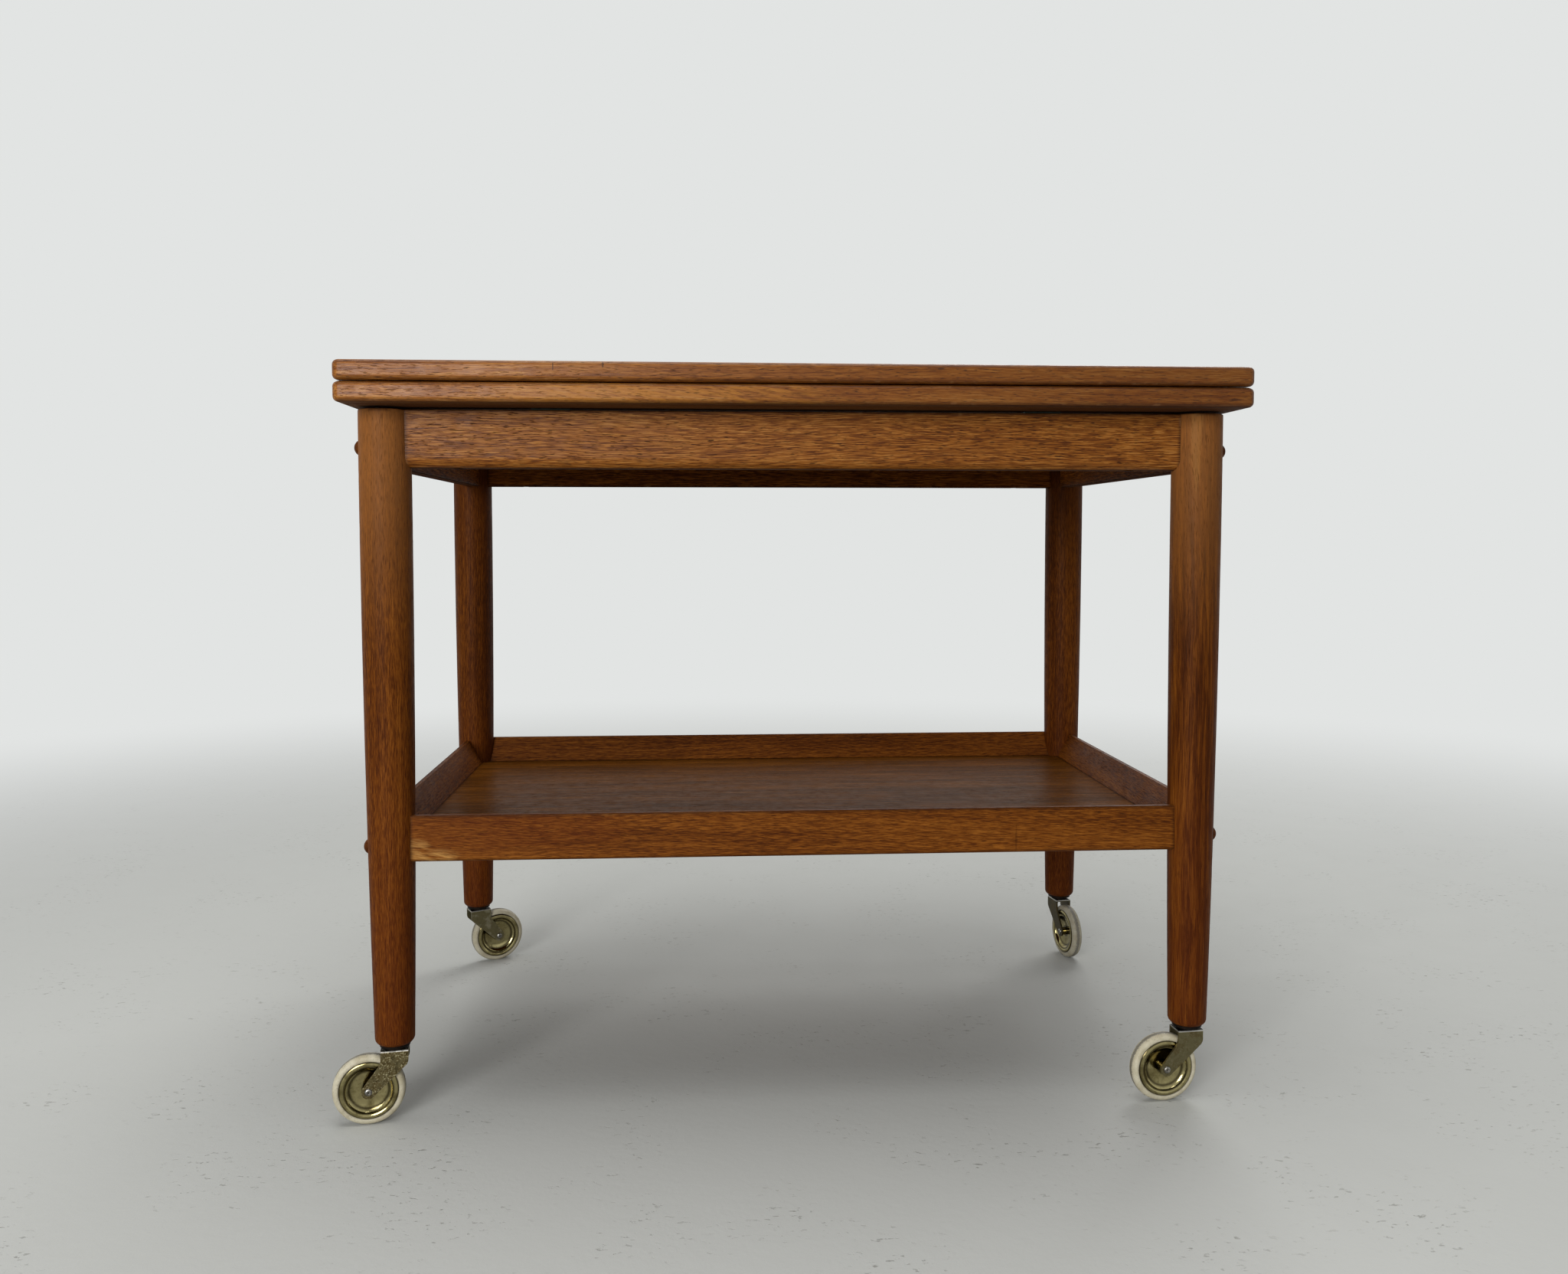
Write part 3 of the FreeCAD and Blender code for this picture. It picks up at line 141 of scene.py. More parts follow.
class Recipe:
    """A material, with short calls that add its nodes."""

    def __init__(self, name):
        self.material = bpy.data.materials.new(name)
        self.material.use_nodes = True
        self.tree = self.material.node_tree
        self.tree.nodes.clear()
        self.shader = self.tree.nodes.new("ShaderNodeBsdfPrincipled")
        self.output = self.tree.nodes.new("ShaderNodeOutputMaterial")
        self.tree.links.new(self.shader.outputs[0], self.output.inputs["Surface"])
        self.place = self.tree.nodes.new("ShaderNodeTexCoord").outputs["Object"]

    def feed(self, socket, value):
        """Links a socket to another one, or sets its own value."""
        if isinstance(value, bpy.types.NodeSocket):
            self.tree.links.new(value, socket)
        else:
            socket.default_value = value

    def set(self, **values):
        """Feeds the shader's sockets; a name's underlines stand for spaces."""
        for name, value in values.items():
            self.feed(self.shader.inputs[name.replace("_", " ")], value)

    def math(self, work, *values):
        node = self.tree.nodes.new("ShaderNodeMath")
        node.operation = work
        for socket, value in zip(node.inputs, values):
            self.feed(socket, value)
        return node.outputs[0]

    def vector(self, work, *values):
        node = self.tree.nodes.new("ShaderNodeVectorMath")
        node.operation = work
        for socket, value in zip(node.inputs, values):
            self.feed(socket, value)
        return node.outputs["Value" if work == "LENGTH" else "Vector"]

    def local(self, middle, turn):
        """Places seen from a point and a turn."""
        node = self.tree.nodes.new("ShaderNodeMapping")
        node.vector_type = "TEXTURE"
        self.feed(node.inputs["Vector"], self.place)
        node.inputs["Location"].default_value = middle
        node.inputs["Rotation"].default_value = turn
        return node.outputs["Vector"]

    def parts(self, where):
        node = self.tree.nodes.new("ShaderNodeSeparateXYZ")
        self.feed(node.inputs[0], where)
        return node.outputs

    def noise(self, where, sizes, kind, output="Fac"):
        """Noise of a kind, whose marks have the given sizes along the three axes."""
        scaled = self.vector("DIVIDE", where, sizes)
        node = self.tree.nodes.new("ShaderNodeTexNoise")
        self.feed(node.inputs["Vector"], scaled)
        node.inputs["Scale"].default_value = 1
        detail, rough = kind
        node.inputs["Detail"].default_value = detail
        node.inputs["Roughness"].default_value = rough
        return node.outputs[output]

    def spread(self, value, low, high, start=0.0, end=1.0):
        """A smooth step from start at low to end at high."""
        node = self.tree.nodes.new("ShaderNodeMapRange")
        node.interpolation_type = "SMOOTHSTEP"
        for name, number in (("Value", value), ("From Min", low), ("From Max", high),
                             ("To Min", start), ("To Max", end)):
            self.feed(node.inputs[name], number)
        return node.outputs["Result"]

    def fade(self, value, low, high, start=1.0):
        """A smooth step from start at low to nothing at high."""
        return self.spread(value, low, high, start, 0.0)

    def ramp(self, value, colours):
        """Colours evenly spread over 0 to 1."""
        node = self.tree.nodes.new("ShaderNodeValToRGB")
        self.feed(node.inputs["Fac"], value)
        stops = node.color_ramp.elements
        for step, colour in enumerate(colours):
            position = step / (len(colours) - 1)
            stop = stops[step] if step < 2 else stops.new(position)
            stop.position = position
            stop.color = linear(colour)
        return node.outputs["Color"]

    def blend(self, share, first, second):
        """The first colour, with a share of the second."""
        node = self.tree.nodes.new("ShaderNodeMix")
        node.data_type = "RGBA"
        self.feed(node.inputs[0], share)
        for socket, value in ((node.inputs[6], first), (node.inputs[7], second)):
            self.feed(socket, linear(value) if isinstance(value, tuple) else value)
        return node.outputs[2]

    def tint(self, mask, share, colour, other):
        """The colour, with a share of another one inside a mask."""
        return self.blend(self.math("MULTIPLY", mask, share), colour, other)

    def bump(self, height, depth, strength):
        node = self.tree.nodes.new("ShaderNodeBump")
        node.inputs["Strength"].default_value = strength
        node.inputs["Distance"].default_value = depth
        self.feed(node.inputs["Height"], height)
        self.feed(self.shader.inputs["Normal"], node.outputs["Normal"])

    def edges(self, low, high, reach):
        """1 along the edges of a box, and 0 further from them than reach."""
        middle = (low + high) / 2
        half = (high - low) / 2
        offset = self.vector("ABSOLUTE", self.vector("SUBTRACT", self.place, middle))
        depth = self.parts(self.vector("SUBTRACT", half, offset))
        nearer = self.math("MINIMUM", depth[0], depth[1])
        farther = self.math("MAXIMUM", depth[0], depth[1])
        second = self.math("MAXIMUM", nearer, self.math("MINIMUM", farther, depth[2]))
        return self.fade(second, 0.0, reach)

    def spot(self, corner, offset_mm, radii_mm, fray):
        """1 inside a ragged patch at an offset from a corner, and 0 outside it."""
        where = Vector(corner) + Vector(offset_mm) * MILLIMETRE
        offset = self.vector("SUBTRACT", self.place, where)
        distance = self.vector("LENGTH", self.vector("DIVIDE", offset, Vector(radii_mm) * MILLIMETRE))
        uneven = self.math("SUBTRACT", fray, NOISE_MIDDLE)
        ragged = self.math("ADD", distance, self.math("MULTIPLY", uneven, SPOT_FRAY))
        return self.fade(ragged, SPOT_CORE, 1.0)


def wear_box(*names):
    """The box round several nodes."""
    lows, highs = zip(*(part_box(name) for name in names))
    low = Vector(min(corner[axis] for corner in lows) for axis in range(3))
    high = Vector(max(corner[axis] for corner in highs) for axis in range(3))
    return low, high


def dress(name, recipe):
    """Gives a piece its own material."""
    for slot in pieces[name].material_slots:
        slot.material = recipe.material


def log_place(seed):
    """The place in the log that a board is cut from."""
    return (seed * SEED_STEP, seed * SEED_STEP / 2, seed * SEED_STEP / 3)


# Marks on single boards: patches as an offset from a corner of the board and half sizes, both in
# millimetres, the slant and sizes of their strokes, and how strongly they show

SAP_PATCHES = (((4, 0, 13.5), (15, 30, 7)), ((18, 0, 4.5), (25, 30, 8)))
SAP_SLANT = 0.16
SAP_LENGTH = 26 * MILLIMETRE
SAP_WIDTH = 1.6 * MILLIMETRE
SAP_CUT = (0.36, 0.6)
SAP_SHARE = 0.75
VIOLET_PATCH = ((70, 0, 24), (130, 30, 20))
VIOLET_SHARE = 0.3
CRACK_PATCH = ((-135, 0, 11), (1.1, 30, 15))
CRACK_SHARE = 0.36
KNIFE_CUTS = (((167, 0, 11), (0.7, 8, 3.5)), ((205, 0, 12.5), (1, 8, 2.6)))
KNIFE_SHARE = 0.7
RIGHT_END_DARK = 0.55
FLAME_PATCH = ((250, 0, 0), (150, 60, 40))
FLAME_SLANT = 0.2
FLAME_LENGTH = 40 * MILLIMETRE
FLAME_WIDTH = 3 * MILLIMETRE
FLAME_CUT = (0.42, 0.62)
FLAME_SHARE = 0.75
WEDGE_PATCH = ((12.5, 2, 0), (6, 30, 80))
WEDGE_SHARE = 0.3
# Painted highlight: the front legs grow paler towards the top
LEG_HIGHLIGHT_RISE = (360 * MILLIMETRE, 580 * MILLIMETRE)
LEG_HIGHLIGHT_SHARE = 0.38
# Painted shade: the rear legs grow darker towards the top
LEG_SHADE_RISE = (420 * MILLIMETRE, 560 * MILLIMETRE)
LEG_SHADE_SHARE = 0.5
LEG_RED_FALL = (400 * MILLIMETRE, 80 * MILLIMETRE)
LEG_RED_SHARE = 0.35
OLIVE_SHARE = 0.32
# Painted shade along the tray's joint with the rims: its reach and strength
SEAM_REACH = 3 * MILLIMETRE
SEAM_SHADE = 0.8

upper_box = wear_box("upper_leaf_lipping_front", "upper_leaf_lipping_rear", "upper_leaf_panel")
lower_box = wear_box("lower_leaf_lipping_front", "lower_leaf_lipping_rear", "lower_leaf_panel")


def sap_and_crack(recipe, colour, fray):
    """The pale sapwood at the lower left end of the front rim, and the fine crack towards its right."""
    low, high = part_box("tray_rim_front")
    slanted = recipe.local(low, (0.0, SAP_SLANT, 0.0))
    stroke = recipe.noise(slanted, (SAP_LENGTH, SAP_WIDTH, SAP_WIDTH), RAGGED)
    streaky = recipe.spread(stroke, *SAP_CUT, 0.0, SAP_SHARE)
    for offset, radii in SAP_PATCHES:
        sap = recipe.spot(low, offset, radii, stroke)
        colour = recipe.tint(sap, streaky, colour, SAPWOOD)
    violet = recipe.spot(low, *VIOLET_PATCH, fray)
    colour = recipe.tint(violet, VIOLET_SHARE, colour, TEAK_RED)
    crack = recipe.spot((high.x, low.y, low.z), *CRACK_PATCH, fray)
    return recipe.tint(crack, CRACK_SHARE, colour, TEAK_PORE)


def darker_right(recipe, colour):
    """The leaves' front edges grow browner from left to right."""
    along = recipe.parts(recipe.place)[0]
    browner = recipe.spread(along, upper_box[0].x, upper_box[1].x, 0.0, RIGHT_END_DARK)
    return recipe.blend(browner, colour, TEAK_DARK)


def knife_marks(recipe, colour, fray):
    """Two short dark cuts on the front edge of the upper leaf."""
    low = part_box("upper_leaf_lipping_front")[0]
    colour = darker_right(recipe, colour)
    for offset, radii in KNIFE_CUTS:
        cut = recipe.spot(low, offset, radii, fray)
        colour = recipe.tint(cut, KNIFE_SHARE, colour, TEAK_PORE)
    return colour


def flame(recipe, colour, fray):
    """Golden figure that crosses the front edge of the lower leaf on a slant."""
    low, high = lower_box
    colour = darker_right(recipe, colour)
    corner = Vector((low.x, low.y, (low.z + high.z) / 2))
    slanted = recipe.local(corner + Vector(FLAME_PATCH[0]) * MILLIMETRE, (0.0, FLAME_SLANT, 0.0))
    wave = recipe.noise(slanted, (FLAME_LENGTH, FLAME_WIDTH, FLAME_WIDTH), RAGGED)
    area = recipe.spot(corner, *FLAME_PATCH, fray)
    return recipe.tint(area, recipe.spread(wave, *FLAME_CUT, 0.0, FLAME_SHARE), colour, TEAK_GOLD)


def red_foot(recipe, colour, height):
    """Legs grow redder towards the foot."""
    return recipe.blend(recipe.spread(height, *LEG_RED_FALL, 0.0, LEG_RED_SHARE), colour, TEAK_RED)


def leg_tones_with_painted_highlight(recipe, colour, fray):
    """The front legs are painted paler under the top, a painted highlight where light falls on them."""
    height = recipe.parts(recipe.place)[2]
    colour = recipe.blend(recipe.spread(height, *LEG_HIGHLIGHT_RISE, 0.0, LEG_HIGHLIGHT_SHARE), colour, TEAK_PAINTED_HIGHLIGHT)
    return red_foot(recipe, colour, height)


def rear_leg_tones_with_painted_shade(recipe, colour, fray):
    """The rear legs are painted darker under the top, as painted shade cast by the top."""
    height = recipe.parts(recipe.place)[2]
    colour = recipe.blend(recipe.spread(height, *LEG_SHADE_RISE, 0.0, LEG_SHADE_SHARE), colour, TEAK_DARK)
    return red_foot(recipe, colour, height)


def pale_wedge(recipe, colour, fray):
    """A pale wedge of figure runs down the front right leg from its top."""
    low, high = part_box("leg_front_right")
    wedge = recipe.spot((low.x, low.y, high.z), *WEDGE_PATCH, fray)
    colour = leg_tones_with_painted_highlight(recipe, colour, fray)
    return recipe.tint(wedge, WEDGE_SHARE, colour, TEAK_PALE)


def olive_cast_and_seam_shade(recipe, colour, fray):
    """The tray's old finish has gone a little green, and the joint along the rims is darkened as painted
    shade.
    """
    low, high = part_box("tray_panel")
    near_corner = Vector((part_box("tray_rim_left")[1].x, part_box("tray_rim_front")[1].y, low.z))
    far_corner = Vector((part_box("tray_rim_right")[0].x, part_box("tray_rim_rear")[0].y, high.z))
    colour = recipe.blend(OLIVE_SHARE, colour, TEAK_OLIVE)
    # Painted shade along the joint with the rims
    seam_shade = recipe.edges(near_corner, far_corner, SEAM_REACH)
    return recipe.tint(seam_shade, SEAM_SHADE, colour, TEAK_PORE)


FINISHES = {
    "upper_leaf_lipping_front": knife_marks,
    "lower_leaf_lipping_front": flame,
    "leg_front_left": leg_tones_with_painted_highlight,
    "leg_front_right": pale_wedge,
    "leg_rear_left": rear_leg_tones_with_painted_shade,
    "leg_rear_right": rear_leg_tones_with_painted_shade,
    "tray_rim_front": sap_and_crack,
    "tray_panel": olive_cast_and_seam_shade,
}

# How strongly each kind of board shows its rings, streaks, fine lines, clouds and pores, how long its lines
# and how broad its streaks are, its roughness and sheen, how far its edges are rubbed pale, and the width
# of the strips that it is laid from

VENEER_STRIP = 118 * MILLIMETRE
LIPPING = {"rings": 0.07, "streaks": 0.18, "lines": 0.3, "clouds": 0.22, "pores": 0.7, "long": 1.4,
           "broad": 1, "rough": 0.34, "sheen": 0.2, "wear": 0.3, "strips": 0}
APRON = {"rings": 0.04, "streaks": 0.12, "lines": 0.52, "clouds": 0.08, "pores": 0.8, "long": 1.7,
         "broad": 1, "rough": 0.42, "sheen": 0.14, "wear": 0.3, "strips": 0}
LEG = {"rings": 0.05, "streaks": 0.09, "lines": 0.27, "clouds": 0.12, "pores": 0.36, "long": 0.8,
       "broad": 1, "rough": 0.46, "sheen": 0.045, "wear": 0.3, "strips": 0}
RIM = {"rings": 0.05, "streaks": 0.1, "lines": 0.3, "clouds": 0.12, "pores": 0.5, "long": 0.9,
       "broad": 1, "rough": 0.42, "sheen": 0.055, "wear": 0.06, "strips": 0}
VENEER = {"rings": 0.07, "streaks": 0.15, "lines": 0.28, "clouds": 0.2, "pores": 0.6, "long": 1.6,
          "broad": 1, "rough": 0.38, "sheen": 0.12, "wear": 0.3, "strips": VENEER_STRIP}
TRAY = {"rings": 0.05, "streaks": 0.28, "lines": 0.3, "clouds": 0.18, "pores": 0.6, "long": 1.6,
        "broad": 3, "rough": 0.33, "sheen": 0.014, "wear": 0.06, "strips": VENEER_STRIP}
STRIPED_LEG = dict(LEG, streaks=0.23, lines=0.2, long=2.0, broad=2.2)
INNER_APRON = dict(APRON, sheen=0.03)
INNER_RIM = dict(RIM, sheen=0.03)
SHINY_RIM = dict(RIM, sheen=0.08)

# Boards: their look, the way of the grain, the place in the log, the tone (set darker on the rear left leg,
# the rear and side aprons and the rear and left rims as painted shade), the middle of the log in
# millimetres from the board's middle, and the slant of the grain

STRAIGHT = (0, 0)
BOARDS = {
    "upper_leaf_lipping_front": (LIPPING, "X", 3, 0.3, (20, 60), (0, 0.004)),
    "upper_leaf_lipping_rear": (LIPPING, "X", 20, 0.38, (30, 70), STRAIGHT),
    "upper_leaf_lipping_left": (LIPPING, "Y", 21, 0.4, (30, 70), STRAIGHT),
    "upper_leaf_lipping_right": (LIPPING, "Y", 22, 0.44, (30, 70), STRAIGHT),
    "upper_leaf_panel": (VENEER, "X", 23, 0.36, (20, 110), STRAIGHT),
    "lower_leaf_lipping_front": (LIPPING, "X", 5, 0.3, (20, 50), (0.02, 0.01)),
    "lower_leaf_lipping_rear": (LIPPING, "X", 30, 0.38, (30, 70), STRAIGHT),
    "lower_leaf_lipping_left": (LIPPING, "Y", 31, 0.4, (30, 70), STRAIGHT),
    "lower_leaf_lipping_right": (LIPPING, "Y", 32, 0.44, (30, 70), STRAIGHT),
    "lower_leaf_panel": (VENEER, "X", 33, 0.36, (20, 110), STRAIGHT),
    "apron_front": (APRON, "X", 7, 0.4, (50, 20), STRAIGHT),
    # The rear and side aprons' darker tones are painted shade
    "apron_rear": (INNER_APRON, "X", 8, 0.56, (50, 30), STRAIGHT),
    "apron_left": (INNER_APRON, "Y", 9, 0.55, (50, 20), STRAIGHT),
    "apron_right": (INNER_APRON, "Y", 10, 0.55, (50, 20), STRAIGHT),
    "leg_front_left": (LEG, "Z", 11, 0.66, (12, 45), (0.01, 0)),
    "leg_front_right": (STRIPED_LEG, "Z", 12, 0.68, (-20, 50), (-0.012, 0)),
    "leg_rear_left": (LEG, "Z", 13, 0.7, (20, 50), (0.006, 0)),
    "leg_rear_right": (LEG, "Z", 14, 0.68, (0, 50), (-0.006, 0)),
    "tray_rim_front": (RIM, "X", 15, 0.555, (40, 40), (0.03, 0)),
    # The rear and left rims' darker tones are painted shade
    "tray_rim_rear": (RIM, "X", 16, 0.63, (30, 50), (-0.03, 0)),
    "tray_rim_left": (INNER_RIM, "Y", 17, 0.66, (40, 40), STRAIGHT),
    "tray_rim_right": (SHINY_RIM, "Y", 18, 0.6, (40, 40), STRAIGHT),
    "tray_panel": (TRAY, "X", 19, 0.62, (20, 110), STRAIGHT),
    "bolt_plugs": (LEG, "X", 40, 0.72, (20, 30), STRAIGHT),
}

# Teak

LINE_LENGTH = 11 * MILLIMETRE
LINE_WIDTH = 0.6 * MILLIMETRE
WANDER_LENGTH = 300 * MILLIMETRE
WANDER_WIDTH = 45 * MILLIMETRE
WANDER_REACH = 16 * MILLIMETRE
RING_SPACING = 4.6 * MILLIMETRE
LOG_TAPER = 0.035
LATE_GROWS = (0.1, 0.88)
LATE_ENDS = (0.93, 1.0)
MARK_RANGE = (0.34, 0.66)
PORE_CUT = (0.6, 0.72)
PORES_IN_CLOUDS = 0.08
PORES_IN_RINGS = -0.05
PORE_DULL = 0.22
GRAIN_RELIEF = 0.6
EDGE_REACH = 3.5 * MILLIMETRE
EDGE_DARKENING = 0.66
SCUFF_SIZE = 14 * MILLIMETRE
FRAY_LENGTH = SCUFF_SIZE * 3
FRAY_WIDTH = SCUFF_SIZE / 4
RUBBED_CUT = (0.55, 0.7)
ROUGH_BELOW = 0.05
ROUGH_ABOVE = 0.09
# Undersides: a band that is rougher, and darkened as painted shade
RAW_AND_SHADED_EDGE = 0.4 * MILLIMETRE
BARE_ROUGH = 0.5
UNDERSIDE_PAINTED_SHADE = 0.7


def wood(name, worn_box, raw_and_shaded_below):
    """Teak for one board, worn along the edges of a box, and below a given height rougher and darkened with
    painted shade.
    """
    recipe = Recipe(name)
    look, grain, seed, tone, pith_mm, slant = BOARDS[name]
    across, up = (length * MILLIMETRE for length in pith_mm)
    low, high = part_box(name)
    turn = GRAIN_TURNS[grain]
    board = recipe.local((low + high) / 2, (turn[0], turn[1] + slant[0], turn[2] + slant[1]))
    if look["strips"]:
        strip = recipe.math("FLOOR", recipe.math("DIVIDE", recipe.parts(board)[1], look["strips"]))
        shift = recipe.tree.nodes.new("ShaderNodeCombineXYZ")
        recipe.feed(shift.inputs[0], recipe.math("MULTIPLY", strip, SEED_STEP))
        recipe.feed(shift.inputs[2], recipe.math("MULTIPLY", strip, up / 4))
        board = recipe.vector("ADD", board, shift.outputs[0])
    grown = recipe.vector("ADD", board, log_place(seed))
    drift = recipe.noise(grown, (WANDER_LENGTH, WANDER_WIDTH, WANDER_WIDTH), SOFT, "Color")
    drift = recipe.vector("SUBTRACT", drift, (NOISE_MIDDLE,) * 3)
    drift = recipe.vector("MULTIPLY", drift, (0, WANDER_REACH, WANDER_REACH))
    wandering = recipe.vector("ADD", board, drift)
    from_pith = recipe.vector("SUBTRACT", wandering, (0, across, up))
    radius = recipe.vector("LENGTH", recipe.vector("MULTIPLY", from_pith, (LOG_TAPER, 1, 1)))
    ring = recipe.math("FRACT", recipe.math("DIVIDE", radius, RING_SPACING))
    late = recipe.math("MULTIPLY", recipe.spread(ring, *LATE_GROWS), recipe.fade(ring, *LATE_ENDS))
    grown = recipe.vector("ADD", grown, drift)
    streak_width = STREAK_WIDTH * look["broad"]
    streak = recipe.noise(grown, (STREAK_LENGTH, streak_width, streak_width), RAGGED)
    cloud = recipe.noise(grown, (CLOUD_LENGTH, CLOUD_WIDTH, CLOUD_WIDTH), SOFT)
    line = recipe.noise(grown, (LINE_LENGTH * look["long"], LINE_WIDTH, LINE_WIDTH), LIVELY)
    pore = recipe.noise(grown, (PORE_LENGTH, PORE_WIDTH, PORE_WIDTH), SMOOTH)
    crowd = recipe.math("ADD", recipe.math("MULTIPLY", cloud, PORES_IN_CLOUDS),
                        recipe.math("MULTIPLY", ring, PORES_IN_RINGS))
    pore = recipe.spread(recipe.math("ADD", pore, crowd), *PORE_CUT)
    depth = tone
    for kind, mark in (("rings", late), ("streaks", streak), ("lines", line), ("clouds", cloud)):
        half = look[kind] / 2
        depth = recipe.math("ADD", recipe.spread(mark, *MARK_RANGE, -half, half), depth)
    colour = recipe.ramp(depth, (TEAK_PALE, TEAK_WARM, TEAK_BROWN, TEAK_DARK, TEAK_DEEP))
    if name in FINISHES:
        fray = recipe.noise(grown, (FRAY_LENGTH, FRAY_WIDTH, FRAY_WIDTH), RAGGED)
        colour = FINISHES[name](recipe, colour, fray)
    colour = recipe.tint(pore, look["pores"], colour, TEAK_PORE)
    scuff = recipe.noise(grown, (SCUFF_SIZE,) * 3, RAGGED)
    edge = recipe.edges(*worn_box, EDGE_REACH)
    # Darker along the box's edges
    colour = recipe.tint(edge, EDGE_DARKENING, colour, TEAK_DEEP)
    rubbed = recipe.math("MULTIPLY", edge, recipe.spread(scuff, *RUBBED_CUT))
    colour = recipe.tint(rubbed, look["wear"], colour, TEAK_WORN)
    rough = recipe.spread(scuff, *NOISE_WHOLE, look["rough"] - ROUGH_BELOW, look["rough"] + ROUGH_ABOVE)
    rough = recipe.math("MULTIPLY_ADD", pore, PORE_DULL, rough)
    # Below the height the wood is rougher, and its colour is darkened as painted shade
    if raw_and_shaded_below:
        raw_and_shaded = recipe.fade(recipe.parts(recipe.place)[2], raw_and_shaded_below, raw_and_shaded_below + RAW_AND_SHADED_EDGE)
        rough = recipe.math("MULTIPLY_ADD", raw_and_shaded, BARE_ROUGH, rough)
        colour = recipe.tint(raw_and_shaded, UNDERSIDE_PAINTED_SHADE, colour, TEAK_PORE)
    recipe.set(Base_Color=colour, Roughness=rough, Specular_IOR_Level=look["sheen"])
    recipe.bump(recipe.math("MULTIPLY_ADD", pore, -1.0, line), PORE_BUMP, GRAIN_RELIEF)
    dress(name, recipe)


under_leaf = lower_box[0].z + RAW_AND_SHADED_EDGE
under_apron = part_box("apron_front")[0].z + RAW_AND_SHADED_EDGE
for name in BOARDS:
    if name.startswith("upper_leaf"):
        wood(name, upper_box, 0)
    elif name.startswith("lower_leaf"):
        wood(name, lower_box, under_leaf)
    elif name.startswith("apron"):
        wood(name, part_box(name), under_apron)
    else:
        wood(name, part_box(name), 0)

# Beech

FLECK_LENGTH = PORE_LENGTH / 3
FLECK_CUT = (0.58, 0.68)
FLECK_SHARE = 0.6
FLECK_RELIEF = 0.4
BEECH_STREAKS = 0.6
BEECH_CLOUDS = 0.4
BEECH_ROUGH = (0.5, 0.65)
BEECH_SEED = 50
BEECH_PIECES = {"rail_left": "Y", "rail_right": "Y", "runner_left": "Y", "runner_right": "Y",
                "frame_dowels": "X"}


def beech(name, grain, seed):
    """Beech for one node: even, with short darker flecks."""
    recipe = Recipe(name)
    low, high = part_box(name)
    board = recipe.local((low + high) / 2, GRAIN_TURNS[grain])
    grown = recipe.vector("ADD", board, log_place(seed))
    cloud = recipe.noise(grown, (CLOUD_LENGTH, CLOUD_WIDTH, CLOUD_WIDTH), SOFT)
    streak = recipe.noise(grown, (STREAK_LENGTH, STREAK_WIDTH, STREAK_WIDTH), EVEN)
    fleck = recipe.noise(grown, (FLECK_LENGTH, PORE_WIDTH, PORE_WIDTH), SMOOTH)
    fleck = recipe.spread(fleck, *FLECK_CUT)
    depth = recipe.math("MULTIPLY_ADD", streak, BEECH_STREAKS, recipe.math("MULTIPLY", cloud, BEECH_CLOUDS))
    colour = recipe.ramp(recipe.spread(depth, *NOISE_MOST), (BEECH_PALE, BEECH_WARM))
    colour = recipe.tint(fleck, FLECK_SHARE, colour, BEECH_FLECK)
    recipe.set(Base_Color=colour, Roughness=recipe.spread(streak, *NOISE_WHOLE, *BEECH_ROUGH))
    recipe.bump(recipe.math("MULTIPLY", fleck, -1.0), PORE_BUMP, FLECK_RELIEF)
    dress(name, recipe)


for seed, (name, grain) in enumerate(BEECH_PIECES.items(), start=BEECH_SEED):
    beech(name, grain, seed)

# Wheels: tyres with a full round section, and discs pressed to a shallow bowl, turned about the axle

STATIONS = ("front_left", "front_right", "rear_left", "rear_right")
TURN_STEPS = 120
CURVE_STEPS = 8
TYRE_STEPS = 28
TYRE_ROUND = 0.8
SHARP_ANGLE = math.radians(38)
TYRE_HALF = 5.7 * MILLIMETRE
TYRE_WALL = 5.2 * MILLIMETRE
TYRE_SEAT = 23.7 * MILLIMETRE
TYRE_FOOT = 20 * MILLIMETRE
TYRE_FOOT_HALF = 4.5 * MILLIMETRE
DISC_EDGE = 23.6 * MILLIMETRE
DISC_BEAD = 19.9 * MILLIMETRE
DISC_SLOPE = 19.1 * MILLIMETRE
DISC_WEB = 15.9 * MILLIMETRE
DISC_COLLAR = 4.2 * MILLIMETRE
DISC_BORE = 2.38 * MILLIMETRE
DISC_SHEET = 1 * MILLIMETRE
DISC_MIDDLE_GAP = 0.1 * MILLIMETRE
HUB_FACE = 6.6 * MILLIMETRE
BEAD_FACE = 5.5 * MILLIMETRE
BEAD_RISE = 0.7 * MILLIMETRE
SLOPE_RISE = -0.4 * MILLIMETRE
WEB_FACE = 2.8 * MILLIMETRE
BOWL_DEPTH = 1.3 * MILLIMETRE


def bowed(start, end, rise):
    """Points on a shallow bow from start up to end, each a distance along the axle and a radius."""
    points = []
    run = (end[0] - start[0], end[1] - start[1])
    length = math.hypot(*run)
    for step in range(CURVE_STEPS):
        share = step / CURVE_STEPS
        lift = rise * 4 * share * (1 - share) / length
        along = start[0] + run[0] * share + run[1] * lift
        radius = start[1] + run[1] * share - run[0] * lift
        points.append((along, radius))
    return points


def tyre_section(tread):
    """The tyre's section: a square foot between the discs and a full round outside."""
    points = [(-TYRE_FOOT_HALF, TYRE_FOOT), (TYRE_FOOT_HALF, TYRE_FOOT), (TYRE_FOOT_HALF, TYRE_SEAT),
              (TYRE_WALL, TYRE_SEAT)]
    shoulder = TYRE_SEAT + DISC_SHEET
    for step in range(TYRE_STEPS + 1):
        angle = math.pi * step / TYRE_STEPS
        along = math.copysign(abs(math.cos(angle)) ** TYRE_ROUND, math.cos(angle))
        rise = math.sin(angle) ** TYRE_ROUND if 0 < step < TYRE_STEPS else 0
        points.append((TYRE_HALF * along, shoulder + (tread - shoulder) * rise))
    return points + [(-TYRE_WALL, TYRE_SEAT), (-TYRE_FOOT_HALF, TYRE_SEAT)]


